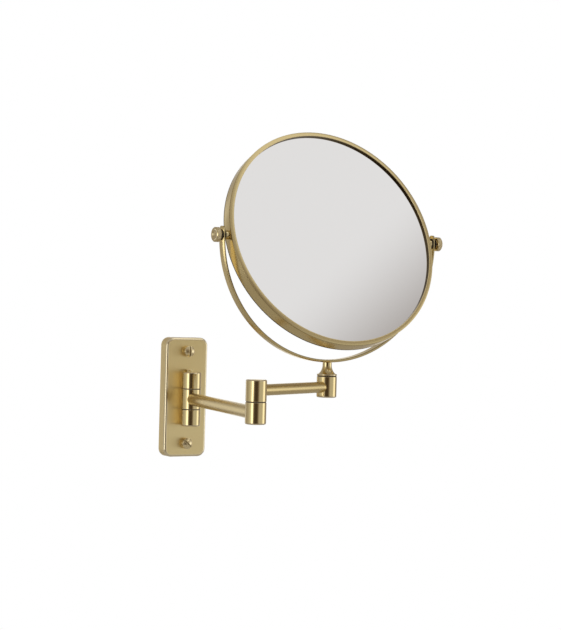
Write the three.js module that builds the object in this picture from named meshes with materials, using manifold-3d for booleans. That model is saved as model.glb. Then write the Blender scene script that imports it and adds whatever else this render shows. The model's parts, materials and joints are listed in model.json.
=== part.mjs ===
// Pivot wall mirror: a wall plate with a three-knuckle hinge, two swinging arms that meet in an
// elbow, and a round two-sided mirror that turns over between the ends of a half-round bow.
// Millimetres, +Z up. The origin is the centre of the plate's back face, and +Y points into the wall.
// The pose is the one in which the mirror faces the room, half drawn out and tilted a little up.
import * as THREE from "three";
import { mergeVertices } from "three/addons/utils/BufferGeometryUtils.js";
import Module from "manifold-3d";

const wasm = await Module();
wasm.setup();

// Fits
const FIT_GAP = 0.05; // between two pieces that are fixed together
const RUNNING_GAP = 0.08; // between a pin and the bush that turns on it

// Wall plate
const PLATE_WIDTH = 42;
const PLATE_HEIGHT = 110;
const PLATE_THICKNESS = 12.5;
const PLATE_CORNER_RADIUS = 7.5;
const PLATE_EDGE_RADIUS = 1.8;
const PLATE_WALL = 2.8; // side wall round the recess in the back
const PLATE_FACE = 3.5; // metal in front of the recess
const RIB_WIDTH = 11; // upright rib in the recess

// Screws that hold the plate to the wall
const WALL_SCREW_INSET = 12.5; // from an end of the plate to the screw's axis
const WALL_SCREW_RADIUS = 2.1;
const WALL_SCREW_LENGTH = 40; // under the head
const WALL_SCREW_POINT = 6;
const WALL_SCREW_HOLE_GAP = 0.3;
const WALL_SCREW_BOSS = 4.2; // wall of the boss round the screw hole
const WALL_HEAD_RADIUS = 5;
const WALL_HEAD_HEIGHT = 7.6;
const WALL_HEAD_DOME = 2.4;
const WALL_HEAD_SEAT_RADIUS = 4.3;
const SLOT_WIDTH = 1.3;
const SLOT_DEPTH = 1.6;
const UPPER_SLOT_TURN = THREE.MathUtils.degToRad(90);
const LOWER_SLOT_TURN = THREE.MathUtils.degToRad(-42);

// Barrels of the three upright joints
const BARREL_RADIUS = 8.75;
const BARREL_HEIGHT = 18.2;
const BARREL_CHAMFER = 0.4;
const SEAM = 0.6; // friction washer between two barrels
const SEAM_CLEARANCE = 0.05; // above and below that washer
const WASHER_INSET = 0.35; // its edge lies back from the barrels' face
const INNER_LEVEL = -1; // height of the inner arm
const PIN_RADIUS = 3;
const BUSH_WALL = 0.95;

// Wall hinge
const HINGE_STANDOFF = 1.75; // air between the plate's face and the barrels
const OUTER_KNUCKLE_HEIGHT = 15.1;
const LUG_WIDTH = 5;
const LUG_DEPTH = 7.3;
const LUG_RISE = 2; // the lug stands above the upper knuckle
const KNUCKLE_CLEARANCE = 0.45; // between the turning knuckle and the bracket
const BLIND_END = 3.6; // metal left above the pin
const HINGE_SCREW_RADIUS = 1.5;
const HINGE_SCREW_BITE = 5.4; // thread in the lug
const HINGE_SCREW_HEAD_RADIUS = 2.9;
const HINGE_SCREW_HEAD_HEIGHT = 2;
const HINGE_SCREW_POCKET_GAP = 0.3;

// Heads, nuts and spring washers on the pins
const PIN_HEAD_RADIUS = 5;
const PIN_HEAD_HEIGHT = 2.6;
const PIN_HEAD_SINK = 0.6;
const PIN_HEAD_GAP = 0.2;
const PIN_SLOT_WIDTH = 1.2;
const PIN_SLOT_DEPTH = 1.2;
const NUT_FLATS = 9.4;
const NUT_HEIGHT = 3.2;
const NUT_RECESS_RADIUS = 6;
const SPRING_RADIUS = 5.4;
const SPRING_THICKNESS = 0.5;
const SPRING_RISE = 0.8;
const PIN_TIP = 0.8; // pin beyond its nut

// Arms
const INNER_ARM_LENGTH = 180; // axis to axis
const OUTER_ARM_LENGTH = 104;
const INNER_TUBE_RADIUS = 5.7;
const OUTER_TUBE_RADIUS = 4.8;
const TUBE_WALL = 1.2;
const TUBE_SEAT_DEPTH = 2.05; // a tube's end sits this deep in the side of a barrel
const ELBOW_BUSH_HEIGHT = 9;
const CAP_RADIUS = 7.4;
const CAP_THICKNESS = 1.5;
const CAP_DOME = 0.4;
const POST_RECESS_DEPTH = 6.4;

// Neck on the post, which carries the bow
const BEAD_HEIGHT = 1.8;
const BEAD_ROUND = 0.9;
const NECK_HEIGHT = 11.65;
const NECK_RADIUS = 4;
const NECK_FOOT_RADIUS = 7.7;
const NECK_FLARE_HEIGHT = 6.9;
const NECK_FLARE_PULL = new THREE.Vector2(0.9, 1.9); // of the flare's curve, from the neck and the bead

// Bow
const BOW_AIR = 4.4; // between the mirror's rim and the bow
const BOW_THICKNESS = 2.4;
const BOW_WIDTH = 8.2;
const BOW_EDGE = 0.7;
const BOW_TAB_RISE = 3.5; // from the tilt axis to the centre of the tab's round end
const BOW_SCREW_RADIUS = 1.5;
const BOW_SCREW_HEAD_RADIUS = 3.4;
const BOW_SCREW_HEAD_HEIGHT = 1.7;
const BOW_SCREW_BITE = 6.5;

// Mirror head
const HEAD_RADIUS = 100;
const HEAD_THICKNESS = 13.4;
const BAND_WALL = 2.4;
const BEZEL_WIDTH = 3.8;
const BEZEL_RIM = 0.9; // edge of the bezel that shows outside the band
const BEZEL_LIP = 2.3; // the glass lies this far below the bezel's face
const BEZEL_SKIRT = 0.5;
const BEZEL_SKIRT_DEPTH = 4.7;
const BEZEL_ROUND = 0.6;
const GROOVE_WIDTH = 0.7; // shadow line between the bezel and the band
const GLASS_THICKNESS = 3;
const GLASS_EDGE_GAP = 0.2;
const MAGNIFIER_THICKNESS = 2.2;
const MAGNIFIER_SAG = 3.2;
const SPACER_WIDTH = 8.8;

// Tilt joint: a thumb screw on each side goes through the bow into a boss on the band
const STUD_RADIUS = 2;
const STUD_CLEARANCE = 0.25; // left between the end of the stud and the glass
const BOSS_RADIUS = 3.9;
const BOSS_SHANK_RADIUS = 3;
const THUMB_WASHER = 0.8;
const THUMB_WASHER_RADIUS = 4.8;
const SPOT_FACE_MARGIN = 0.4; // of the flat on the bow's inside, round the washer
const BOSS_WASHER = 0.6;
const KNOB_RADIUS = 6.3;
const KNOB_LENGTH = 4.6;
const KNOB_CHAMFER = 0.6;
const KNOB_NECK_RADIUS = 4.2;
const KNOB_NECK_LENGTH = 0.9;
const KNURL_COUNT = 20;
const KNURL_DEPTH = 0.3;
const DISH_RADIUS = 4.2;
const DISH_DEPTH = 1.5;

// Pose
const HINGE_TURN = THREE.MathUtils.degToRad(-98.7); // of the inner arm from +X
const ELBOW_TURN = THREE.MathUtils.degToRad(124.7); // of the outer arm from the inner arm
const POST_TURN = THREE.MathUtils.degToRad(-26); // of the bow from the outer arm
const MIRROR_TILT = THREE.MathUtils.degToRad(22); // of the mirror's face, upwards

// Faces round a barrel, a screw, an inner pin and the mirror's rim
const ROUND = 28;
const SCREW_ROUND = 20;
const PIN_ROUND = 16;
const RIM_ROUND = 60;

// Places that follow from the sizes above
const WALL_SCREW_LEVEL = PLATE_HEIGHT / 2 - WALL_SCREW_INSET;
const HINGE_REACH = PLATE_THICKNESS + HINGE_STANDOFF + BARREL_RADIUS;
const INNER_TOP = INNER_LEVEL + BARREL_HEIGHT / 2;
const INNER_BOTTOM = INNER_LEVEL - BARREL_HEIGHT / 2;
const OUTER_BOTTOM = INNER_TOP + SEAM;
const OUTER_TOP = OUTER_BOTTOM + BARREL_HEIGHT;
const OUTER_LEVEL = (OUTER_BOTTOM + OUTER_TOP) / 2;
const HINGE_TOP = OUTER_BOTTOM + OUTER_KNUCKLE_HEIGHT;
const HINGE_BOTTOM = INNER_BOTTOM - SEAM - OUTER_KNUCKLE_HEIGHT;
const LUG_TOP = HINGE_TOP + LUG_RISE;
const BUSH_RADIUS = PIN_RADIUS + RUNNING_GAP + BUSH_WALL;
const TUBE_END = BARREL_RADIUS - TUBE_SEAT_DEPTH; // from a barrel's axis
const NECK_BOTTOM = OUTER_TOP + SEAM;
const NECK_TOP = NECK_BOTTOM + NECK_HEIGHT;
const BOW_INNER_RADIUS = HEAD_RADIUS + BOW_AIR;
const BOW_OUTER_RADIUS = BOW_INNER_RADIUS + BOW_THICKNESS;
const TILT_LEVEL = NECK_TOP + FIT_GAP + BOW_OUTER_RADIUS;
const HEAD_FACE = HEAD_THICKNESS / 2;
const BAND_INNER_RADIUS = HEAD_RADIUS - BAND_WALL;
const BAND_END = HEAD_FACE - BEZEL_RIM;
const SKIRT_OUTER_RADIUS = BAND_INNER_RADIUS - FIT_GAP * 2;
const SKIRT_INNER_RADIUS = SKIRT_OUTER_RADIUS - BEZEL_SKIRT;
const GLASS_RADIUS = SKIRT_INNER_RADIUS - GLASS_EDGE_GAP;
const GLASS_FACE = HEAD_FACE - BEZEL_LIP;
const GLASS_BACK = GLASS_FACE - GLASS_THICKNESS;

const FINISHES = {
  satinBrass: { color: 0xbda775, roughness: 0.34, metalness: 1 },
  nylon: { color: 0x2b2823, roughness: 0.6, metalness: 0 },
  bronze: { color: 0x8a6a3a, roughness: 0.45, metalness: 1 },
  steel: { color: 0x9a9a98, roughness: 0.35, metalness: 1 },
  mirrorGlass: { color: 0xdededa, roughness: 0.03, metalness: 1 },
  spacerBoard: { color: 0x6f6a60, roughness: 0.9, metalness: 0 },
};

// ---- Tools ---------------------------------------------------------------------------------

// A closed geometry as a solid that can be joined and cut.
function solid(geometry) {
  const bare = geometry.clone();
  bare.deleteAttribute("normal");
  bare.deleteAttribute("uv");
  const merged = mergeVertices(bare, 1e-4);
  const mesh = new wasm.Mesh({
    numProp: 3,
    vertProperties: merged.attributes.position.array,
    triVerts: new Uint32Array(merged.index.array),
  });
  return new wasm.Manifold(mesh);
}

function toGeometry(shape) {
  const mesh = shape.getMesh();
  const geometry = new THREE.BufferGeometry();
  geometry.setAttribute("position", new THREE.BufferAttribute(mesh.vertProperties, 3));
  geometry.setIndex(new THREE.BufferAttribute(mesh.triVerts, 1));
  geometry.computeVertexNormals();
  return geometry;
}

function joined(...shapes) {
  return shapes.reduce((whole, shape) => whole.add(shape));
}

function cut(shape, ...cutters) {
  return cutters.reduce((left, cutter) => left.subtract(cutter), shape);
}

function addPart(parent, name, finish, shape) {
  const material = new THREE.MeshStandardMaterial(FINISHES[finish]);
  const mesh = new THREE.Mesh(toGeometry(shape), material);
  mesh.name = name;
  parent.add(mesh);
}

function addGroup(parent, x, y, z) {
  const group = new THREE.Group();
  group.position.set(x, y, z);
  parent.add(group);
  return group;
}

const at = (radius, height) => new THREE.Vector2(radius, height);

// A profile of (radius, height) points, run anticlockwise, turned about the Z axis.
function turned(points, segments = ROUND) {
  const profile = points.filter((point, i) => i === 0 || !point.equals(points[i - 1]));
  if (profile[0].x > 0 || profile.at(-1).x > 0) {
    profile.push(profile[0].clone());
  }
  const geometry = new THREE.LatheGeometry(profile, segments);
  return geometry.rotateX(Math.PI / 2);
}

// A disc or, with an inner radius, a ring about Z, its outer edges chamfered.
function ring(inner, outer, bottom, top, chamfer = 0, segments = ROUND) {
  const points = [
    at(inner, bottom),
    at(outer - chamfer, bottom),
    at(outer, bottom + chamfer),
    at(outer, top - chamfer),
    at(outer - chamfer, top),
    at(inner, top),
  ];
  return turned(points, segments);
}

// What stands along +Z is laid over, to point out of the wall (-Y) or to the right (+X).
const outOfWall = (geometry) => geometry.rotateX(Math.PI / 2);
const toTheRight = (geometry) => geometry.rotateY(Math.PI / 2);

function box(width, depth, height, x, y, z) {
  return new THREE.BoxGeometry(width, depth, height).translate(x, y, z);
}

function roundedRectangle(width, height, radius) {
  const x = width / 2 - radius;
  const y = height / 2 - radius;
  const shape = new THREE.Shape();
  shape.absarc(x, y, radius, 0, Math.PI / 2);
  shape.absarc(-x, y, radius, Math.PI / 2, Math.PI);
  shape.absarc(-x, -y, radius, Math.PI, Math.PI * 1.5);
  shape.absarc(x, -y, radius, Math.PI * 1.5, Math.PI * 2);
  return shape;
}

function hexagon(flats) {
  const corner = flats / Math.sqrt(3);
  const points = [];
  for (let i = 0; i < 6; i += 1) {
    const angle = (i * Math.PI) / 3;
    points.push(new THREE.Vector2(corner * Math.cos(angle), corner * Math.sin(angle)));
  }
  return new THREE.Shape(points);
}

// ---- Wall plate and its screws --------------------------------------------------------------

function wallPlate() {
  const outline = roundedRectangle(PLATE_WIDTH, PLATE_HEIGHT, PLATE_CORNER_RADIUS);
  const block = new THREE.ExtrudeGeometry(outline, {
    depth: PLATE_THICKNESS - PLATE_EDGE_RADIUS,
    bevelThickness: PLATE_EDGE_RADIUS,
    bevelSize: PLATE_EDGE_RADIUS,
    bevelOffset: -PLATE_EDGE_RADIUS,
    bevelSegments: 2,
    curveSegments: 3,
  });
  const behind = box(
    PLATE_WIDTH * 2,
    PLATE_THICKNESS,
    PLATE_HEIGHT * 2,
    0,
    PLATE_THICKNESS / 2,
    0,
  );
  const recessDepth = PLATE_THICKNESS - PLATE_FACE;
  const recessOutline = roundedRectangle(
    PLATE_WIDTH - 2 * PLATE_WALL,
    PLATE_HEIGHT - 2 * PLATE_WALL,
    PLATE_CORNER_RADIUS - PLATE_WALL,
  );
  const recess = new THREE.ExtrudeGeometry(recessOutline, {
    depth: 2 * recessDepth,
    bevelEnabled: false,
    curveSegments: 2,
  }).translate(0, 0, -recessDepth);
  const rib = box(RIB_WIDTH, 4 * PLATE_THICKNESS, PLATE_HEIGHT, 0, 0, 0);
  let hollow = cut(solid(outOfWall(recess)), solid(rib));
  const holes = [];
  for (const side of [-1, 1]) {
    const z = side * WALL_SCREW_LEVEL;
    const holeRadius = WALL_SCREW_RADIUS + WALL_SCREW_HOLE_GAP;
    const reach = 2 * PLATE_THICKNESS;
    const boss = outOfWall(ring(0, holeRadius + WALL_SCREW_BOSS, -reach, reach, 0, PIN_ROUND));
    const hole = outOfWall(ring(0, holeRadius, -reach, reach, 0, PIN_ROUND));
    hollow = cut(hollow, solid(boss.translate(0, 0, z)));
    holes.push(solid(hole.translate(0, 0, z)));
    const pocketRadius = HINGE_SCREW_HEAD_RADIUS + HINGE_SCREW_POCKET_GAP;
    const pocket = outOfWall(ring(0, pocketRadius, -1, recessDepth, 0, PIN_ROUND));
    const shankRadius = HINGE_SCREW_RADIUS + FIT_GAP;
    const shank = outOfWall(ring(0, shankRadius, 0, reach, 0, PIN_ROUND));
    holes.push(solid(pocket.translate(0, 0, hingeScrewLevel(side))));
    holes.push(solid(shank.translate(0, 0, hingeScrewLevel(side))));
  }
  return cut(solid(outOfWall(block)), solid(behind), hollow, ...holes);
}

// Wood screw with a tall, slightly domed head. Its axis points out of the wall, head first.
function wallScrew(slotTurn) {
  const face = PLATE_THICKNESS;
  const under = face - WALL_SCREW_LENGTH;
  const dome = new THREE.Path();
  dome.moveTo(WALL_HEAD_SEAT_RADIUS, face);
  dome.lineTo(WALL_HEAD_RADIUS, face + WALL_HEAD_RADIUS - WALL_HEAD_SEAT_RADIUS);
  dome.lineTo(WALL_HEAD_RADIUS, face + WALL_HEAD_HEIGHT - WALL_HEAD_DOME);
  dome.quadraticCurveTo(
    WALL_HEAD_RADIUS,
    face + WALL_HEAD_HEIGHT,
    0,
    face + WALL_HEAD_HEIGHT,
  );
  const profile = [
    at(0, under),
    at(WALL_SCREW_RADIUS, under + WALL_SCREW_POINT),
    at(WALL_SCREW_RADIUS, face),
    ...dome.getPoints(4),
  ];
  const slot = box(
    4 * WALL_HEAD_RADIUS,
    SLOT_WIDTH,
    2 * SLOT_DEPTH,
    0,
    0,
    face + WALL_HEAD_HEIGHT,
  ).rotateZ(slotTurn);
  const standing = cut(solid(turned(profile, SCREW_ROUND)), solid(slot));
  return standing.rotate([90, 0, 0]);
}

// The two machine screws behind the plate that hold the hinge bracket.
function hingeScrewLevel(side) {
  return side > 0 ? (LUG_TOP + OUTER_BOTTOM) / 2 : HINGE_BOTTOM + OUTER_KNUCKLE_HEIGHT / 2;
}

function hingeScrew(side) {
  const seat = PLATE_THICKNESS - PLATE_FACE;
  const profile = [
    at(0, seat - HINGE_SCREW_HEAD_HEIGHT),
    at(HINGE_SCREW_HEAD_RADIUS, seat - HINGE_SCREW_HEAD_HEIGHT),
    at(HINGE_SCREW_HEAD_RADIUS, seat - FIT_GAP),
    at(HINGE_SCREW_RADIUS, seat - FIT_GAP),
    at(HINGE_SCREW_RADIUS, PLATE_THICKNESS + HINGE_SCREW_BITE),
    at(0, PLATE_THICKNESS + HINGE_SCREW_BITE),
  ];
  const slot = box(
    4 * HINGE_SCREW_HEAD_RADIUS,
    SLOT_WIDTH,
    HINGE_SCREW_HEAD_HEIGHT,
    0,
    0,
    seat - HINGE_SCREW_HEAD_HEIGHT,
  );
  const standing = cut(solid(turned(profile, PIN_ROUND)), solid(slot));
  return standing.rotate([90, 0, 0]).translate([0, 0, hingeScrewLevel(side)]);
}

// ---- Wall hinge -----------------------------------------------------------------------------

// One casting: the lug on the plate and the upper and lower knuckles in front of it.
function hingeBracket() {
  const lug = box(
    LUG_WIDTH,
    LUG_DEPTH,
    LUG_TOP - HINGE_BOTTOM,
    0,
    -PLATE_THICKNESS - LUG_DEPTH / 2,
    (LUG_TOP + HINGE_BOTTOM) / 2,
  );
  const upper = ring(0, BARREL_RADIUS, OUTER_BOTTOM, HINGE_TOP, BARREL_CHAMFER);
  const lower = ring(0, BARREL_RADIUS, HINGE_BOTTOM, INNER_BOTTOM - SEAM, BARREL_CHAMFER);
  const sweep = ring(
    0,
    BARREL_RADIUS + KNUCKLE_CLEARANCE,
    INNER_BOTTOM - SEAM,
    OUTER_BOTTOM,
  );
  const bore = ring(0, PIN_RADIUS + FIT_GAP, HINGE_BOTTOM - 1, HINGE_TOP - BLIND_END);
  const headPocket = ring(
    0,
    PIN_HEAD_RADIUS + PIN_HEAD_GAP,
    HINGE_BOTTOM - 1,
    HINGE_BOTTOM + PIN_HEAD_SINK + PIN_HEAD_HEIGHT,
  );
  const onAxis = (geometry) => solid(geometry.translate(0, -HINGE_REACH, 0));
  const screwHoles = [-1, 1].map((side) => {
    const hole = outOfWall(
      ring(
        0,
        HINGE_SCREW_RADIUS + FIT_GAP,
        0,
        PLATE_THICKNESS + HINGE_SCREW_BITE + 2 * FIT_GAP,
        0,
        PIN_ROUND,
      ),
    );
    return solid(hole.translate(0, 0, hingeScrewLevel(side)));
  });
  const casting = joined(solid(lug), onAxis(upper), onAxis(lower));
  return cut(casting, onAxis(sweep), onAxis(bore), onAxis(headPocket), ...screwHoles);
}

// A pin that goes in from below: slotted head at the foot, plain shank above.
function headedPin(bottom, top) {
  const headBottom = bottom + PIN_HEAD_SINK;
  const headTop = headBottom + PIN_HEAD_HEIGHT - FIT_GAP;
  const profile = [
    at(0, headBottom),
    at(PIN_HEAD_RADIUS - BARREL_CHAMFER, headBottom),
    at(PIN_HEAD_RADIUS, headBottom + BARREL_CHAMFER),
    at(PIN_HEAD_RADIUS, headTop),
    at(PIN_RADIUS, headTop),
    at(PIN_RADIUS, top),
    at(0, top),
  ];
  const slot = box(
    4 * PIN_HEAD_RADIUS,
    PIN_SLOT_WIDTH,
    2 * PIN_SLOT_DEPTH,
    0,
    0,
    headBottom,
  );
  return cut(solid(turned(profile, PIN_ROUND)), solid(slot));
}

// Friction washer that fills the seam above the given height.
function seamWasher(bottom) {
  return solid(
    ring(
      PIN_RADIUS + RUNNING_GAP,
      BARREL_RADIUS - WASHER_INSET,
      bottom + SEAM_CLEARANCE,
      bottom + SEAM - SEAM_CLEARANCE,
      0,
      PIN_ROUND,
    ),
  );
}

function bush(bottom, top) {
  return solid(ring(PIN_RADIUS + RUNNING_GAP, BUSH_RADIUS, bottom, top, 0, PIN_ROUND));
}

// ---- Arms -----------------------------------------------------------------------------------

// Blind round seat in a barrel's side: side 1 opens towards +X and side -1 towards -X.
function tubeSeat(radius, level, side) {
  const seat = toTheRight(ring(0, radius + FIT_GAP, TUBE_END, 2 * BARREL_RADIUS));
  if (side < 0) {
    seat.rotateZ(Math.PI);
  }
  return solid(seat.translate(0, 0, level));
}

function armTube(radius, level, length) {
  const start = TUBE_END + FIT_GAP;
  const tube = toTheRight(ring(radius - TUBE_WALL, radius, start, length - start));
  return solid(tube.translate(0, 0, level));
}

function middleKnuckle() {
  const barrel = ring(
    BUSH_RADIUS + FIT_GAP,
    BARREL_RADIUS,
    INNER_BOTTOM,
    INNER_TOP,
    BARREL_CHAMFER,
  );
  return cut(solid(barrel), tubeSeat(INNER_TUBE_RADIUS, INNER_LEVEL, 1));
}

function elbowLowerBarrel() {
  const barrel = ring(
    PIN_RADIUS + FIT_GAP,
    BARREL_RADIUS,
    INNER_BOTTOM,
    INNER_TOP,
    BARREL_CHAMFER,
  );
  const headPocket = ring(
    0,
    PIN_HEAD_RADIUS + PIN_HEAD_GAP,
    INNER_BOTTOM - 1,
    INNER_BOTTOM + PIN_HEAD_SINK + PIN_HEAD_HEIGHT,
  );
  return cut(solid(barrel), solid(headPocket), tubeSeat(INNER_TUBE_RADIUS, INNER_LEVEL, -1));
}

// The upper barrel is bored for the bush below and wide above, where the nut and spring sit.
function elbowUpperBarrel() {
  const floor = OUTER_BOTTOM + ELBOW_BUSH_HEIGHT;
  const barrel = ring(0, BARREL_RADIUS, OUTER_BOTTOM, OUTER_TOP, BARREL_CHAMFER);
  const bore = ring(0, BUSH_RADIUS + FIT_GAP, OUTER_BOTTOM - 1, floor + 1);
  const recess = ring(0, NUT_RECESS_RADIUS, floor, OUTER_TOP + 1);
  const capSeat = ring(0, CAP_RADIUS + FIT_GAP, OUTER_TOP - CAP_THICKNESS, OUTER_TOP + 1);
  return cut(
    solid(barrel),
    solid(bore),
    solid(recess),
    solid(capSeat),
    tubeSeat(OUTER_TUBE_RADIUS, OUTER_LEVEL, 1),
  );
}

function elbowCap() {
  const bottom = OUTER_TOP - CAP_THICKNESS + FIT_GAP;
  const dome = new THREE.Path();
  dome.moveTo(0, bottom);
  dome.lineTo(CAP_RADIUS, bottom);
  dome.lineTo(CAP_RADIUS, OUTER_TOP);
  dome.quadraticCurveTo(CAP_RADIUS / 2, OUTER_TOP + CAP_DOME, 0, OUTER_TOP + CAP_DOME);
  return solid(turned(dome.getPoints(3)));
}

// Cone spring washer. It stands on its outer edge, and side -1 turns it over.
function springWasher(seat, side) {
  const inner = PIN_RADIUS + FIT_GAP;
  const profile = [
    at(SPRING_RADIUS, 0),
    at(SPRING_RADIUS, SPRING_THICKNESS),
    at(inner, SPRING_RISE + SPRING_THICKNESS),
    at(inner, SPRING_RISE),
  ];
  const washer = turned(profile, PIN_ROUND);
  if (side < 0) {
    washer.rotateX(Math.PI);
  }
  return solid(washer.translate(0, 0, seat + side * SEAM_CLEARANCE));
}

function nut(seat, side) {
  const stack = SPRING_RISE + SPRING_THICKNESS + 2 * SEAM_CLEARANCE;
  const blank = new THREE.ExtrudeGeometry(hexagon(NUT_FLATS), {
    depth: NUT_HEIGHT,
    bevelEnabled: false,
  });
  blank.translate(0, 0, side > 0 ? seat + stack : seat - stack - NUT_HEIGHT);
  const reach = 4 * NUT_HEIGHT;
  return cut(solid(blank), solid(ring(0, PIN_RADIUS + FIT_GAP, seat - reach, seat + reach)));
}

// How far a pin goes past the seat of its spring washer.
const PIN_PAST_SEAT = SPRING_RISE + SPRING_THICKNESS + 2 * SEAM_CLEARANCE + NUT_HEIGHT + PIN_TIP;

function postBarrel() {
  const roof = OUTER_BOTTOM + POST_RECESS_DEPTH;
  const barrel = ring(0, BARREL_RADIUS, OUTER_BOTTOM, OUTER_TOP, BARREL_CHAMFER);
  const bore = ring(0, BUSH_RADIUS + FIT_GAP, roof - 1, OUTER_TOP + 1);
  const recess = ring(0, NUT_RECESS_RADIUS, OUTER_BOTTOM - 1, roof);
  return cut(
    solid(barrel),
    solid(bore),
    solid(recess),
    tubeSeat(OUTER_TUBE_RADIUS, OUTER_LEVEL, -1),
  );
}

// ---- Neck and bow ---------------------------------------------------------------------------

// Spindle in the post, then a bead like the barrels, then a neck that flares in to the bow.
function swivelNeck() {
  const beadTop = NECK_BOTTOM + BEAD_HEIGHT;
  const spindleEnd = OUTER_BOTTOM + POST_RECESS_DEPTH - PIN_PAST_SEAT;
  const profile = new THREE.Path();
  profile.moveTo(0, spindleEnd);
  profile.lineTo(PIN_RADIUS, spindleEnd);
  profile.lineTo(PIN_RADIUS, NECK_BOTTOM);
  profile.lineTo(BARREL_RADIUS - BEAD_ROUND, NECK_BOTTOM);
  profile.quadraticCurveTo(
    BARREL_RADIUS,
    NECK_BOTTOM,
    BARREL_RADIUS,
    NECK_BOTTOM + BEAD_HEIGHT / 2,
  );
  profile.quadraticCurveTo(BARREL_RADIUS, beadTop, BARREL_RADIUS - BEAD_ROUND, beadTop);
  profile.lineTo(NECK_FOOT_RADIUS, beadTop);
  profile.quadraticCurveTo(
    NECK_RADIUS + NECK_FLARE_PULL.x,
    beadTop + NECK_FLARE_PULL.y,
    NECK_RADIUS,
    beadTop + NECK_FLARE_HEIGHT,
  );
  profile.lineTo(NECK_RADIUS, NECK_TOP);
  profile.lineTo(0, NECK_TOP);
  const tapping = ring(
    0,
    BOW_SCREW_RADIUS + FIT_GAP,
    NECK_TOP - BOW_SCREW_BITE - FIT_GAP,
    NECK_TOP + 1,
    0,
    PIN_ROUND,
  );
  return cut(solid(turned(profile.getPoints(3))), solid(tapping));
}

// Flat strip bent to a half circle about the tilt axis, with two upright tabs, round at the top.
function bow() {
  const rise = BOW_TAB_RISE + BOW_WIDTH;
  const section = new THREE.Shape();
  section.moveTo(-BOW_OUTER_RADIUS, rise);
  section.lineTo(-BOW_OUTER_RADIUS, 0);
  section.absarc(0, 0, BOW_OUTER_RADIUS, Math.PI, 2 * Math.PI);
  section.lineTo(BOW_OUTER_RADIUS, rise);
  section.lineTo(BOW_INNER_RADIUS, rise);
  section.lineTo(BOW_INNER_RADIUS, 0);
  section.absarc(0, 0, BOW_INNER_RADIUS, 2 * Math.PI, Math.PI, true);
  section.lineTo(-BOW_INNER_RADIUS, rise);
  const strip = new THREE.ExtrudeGeometry(section, {
    depth: BOW_WIDTH - 2 * BOW_EDGE,
    bevelThickness: BOW_EDGE,
    bevelSize: BOW_EDGE,
    bevelOffset: -BOW_EDGE,
    bevelSegments: 1,
    curveSegments: RIM_ROUND / 4, // an arc takes twice as many steps
  }).translate(0, 0, BOW_EDGE - BOW_WIDTH / 2);
  const wide = 3 * BOW_OUTER_RADIUS;
  const tabEnd = toTheRight(ring(0, BOW_WIDTH / 2, -wide / 2, wide / 2));
  const below = box(wide, 2 * BOW_WIDTH, wide, 0, 0, BOW_TAB_RISE - wide / 2);
  const envelope = joined(solid(tabEnd.translate(0, 0, BOW_TAB_RISE)), solid(below));
  const studHole = toTheRight(
    ring(0, STUD_RADIUS + RUNNING_GAP, -wide / 2, wide / 2, 0, PIN_ROUND),
  );
  const sink = turned(
    [
      at(0, -BOW_OUTER_RADIUS - BOW_THICKNESS),
      at(BOW_SCREW_RADIUS + FIT_GAP, -BOW_OUTER_RADIUS - BOW_THICKNESS),
      at(BOW_SCREW_RADIUS + FIT_GAP, bowHeadSeat()),
      at(BOW_SCREW_HEAD_RADIUS + FIT_GAP, bowHeadSeat() + BOW_SCREW_HEAD_HEIGHT),
      at(BOW_SCREW_HEAD_RADIUS + FIT_GAP, -BOW_INNER_RADIUS + BOW_THICKNESS),
      at(0, -BOW_INNER_RADIUS + BOW_THICKNESS),
    ],
    PIN_ROUND,
  );
  const spotFace = toTheRight(
    ring(
      0,
      THUMB_WASHER_RADIUS + SPOT_FACE_MARGIN,
      -BOW_INNER_RADIUS,
      BOW_INNER_RADIUS,
      0,
      PIN_ROUND,
    ),
  );
  const blank = solid(outOfWall(strip)).intersect(envelope);
  return cut(blank, solid(studHole), solid(spotFace), solid(sink));
}

// Height of the lower end of the bow screw's countersunk head, from the tilt axis.
function bowHeadSeat() {
  return -BOW_INNER_RADIUS - BOW_SCREW_HEAD_HEIGHT - FIT_GAP;
}

function bowScrew() {
  const seat = bowHeadSeat() + FIT_GAP;
  const tip = -BOW_OUTER_RADIUS - FIT_GAP - BOW_SCREW_BITE;
  const profile = [
    at(0, tip),
    at(BOW_SCREW_RADIUS, tip),
    at(BOW_SCREW_RADIUS, seat),
    at(BOW_SCREW_HEAD_RADIUS, seat + BOW_SCREW_HEAD_HEIGHT),
    at(0, seat + BOW_SCREW_HEAD_HEIGHT),
  ];
  const slot = box(
    4 * BOW_SCREW_HEAD_RADIUS,
    PIN_SLOT_WIDTH,
    BOW_SCREW_HEAD_HEIGHT,
    0,
    0,
    seat + BOW_SCREW_HEAD_HEIGHT,
  );
  return cut(solid(turned(profile, PIN_ROUND)), solid(slot));
}

// ---- Mirror head: turned about its own axis, its front towards +Z until it is laid over -----

function band() {
  const hoop = ring(BAND_INNER_RADIUS, HEAD_RADIUS, -BAND_END, BAND_END, GROOVE_WIDTH, RIM_ROUND);
  const wide = 3 * HEAD_RADIUS;
  const hole = ring(0, BOSS_SHANK_RADIUS + FIT_GAP, -wide / 2, wide / 2, 0, PIN_ROUND);
  return cut(solid(outOfWall(hoop)), solid(toTheRight(hole)));
}

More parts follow.
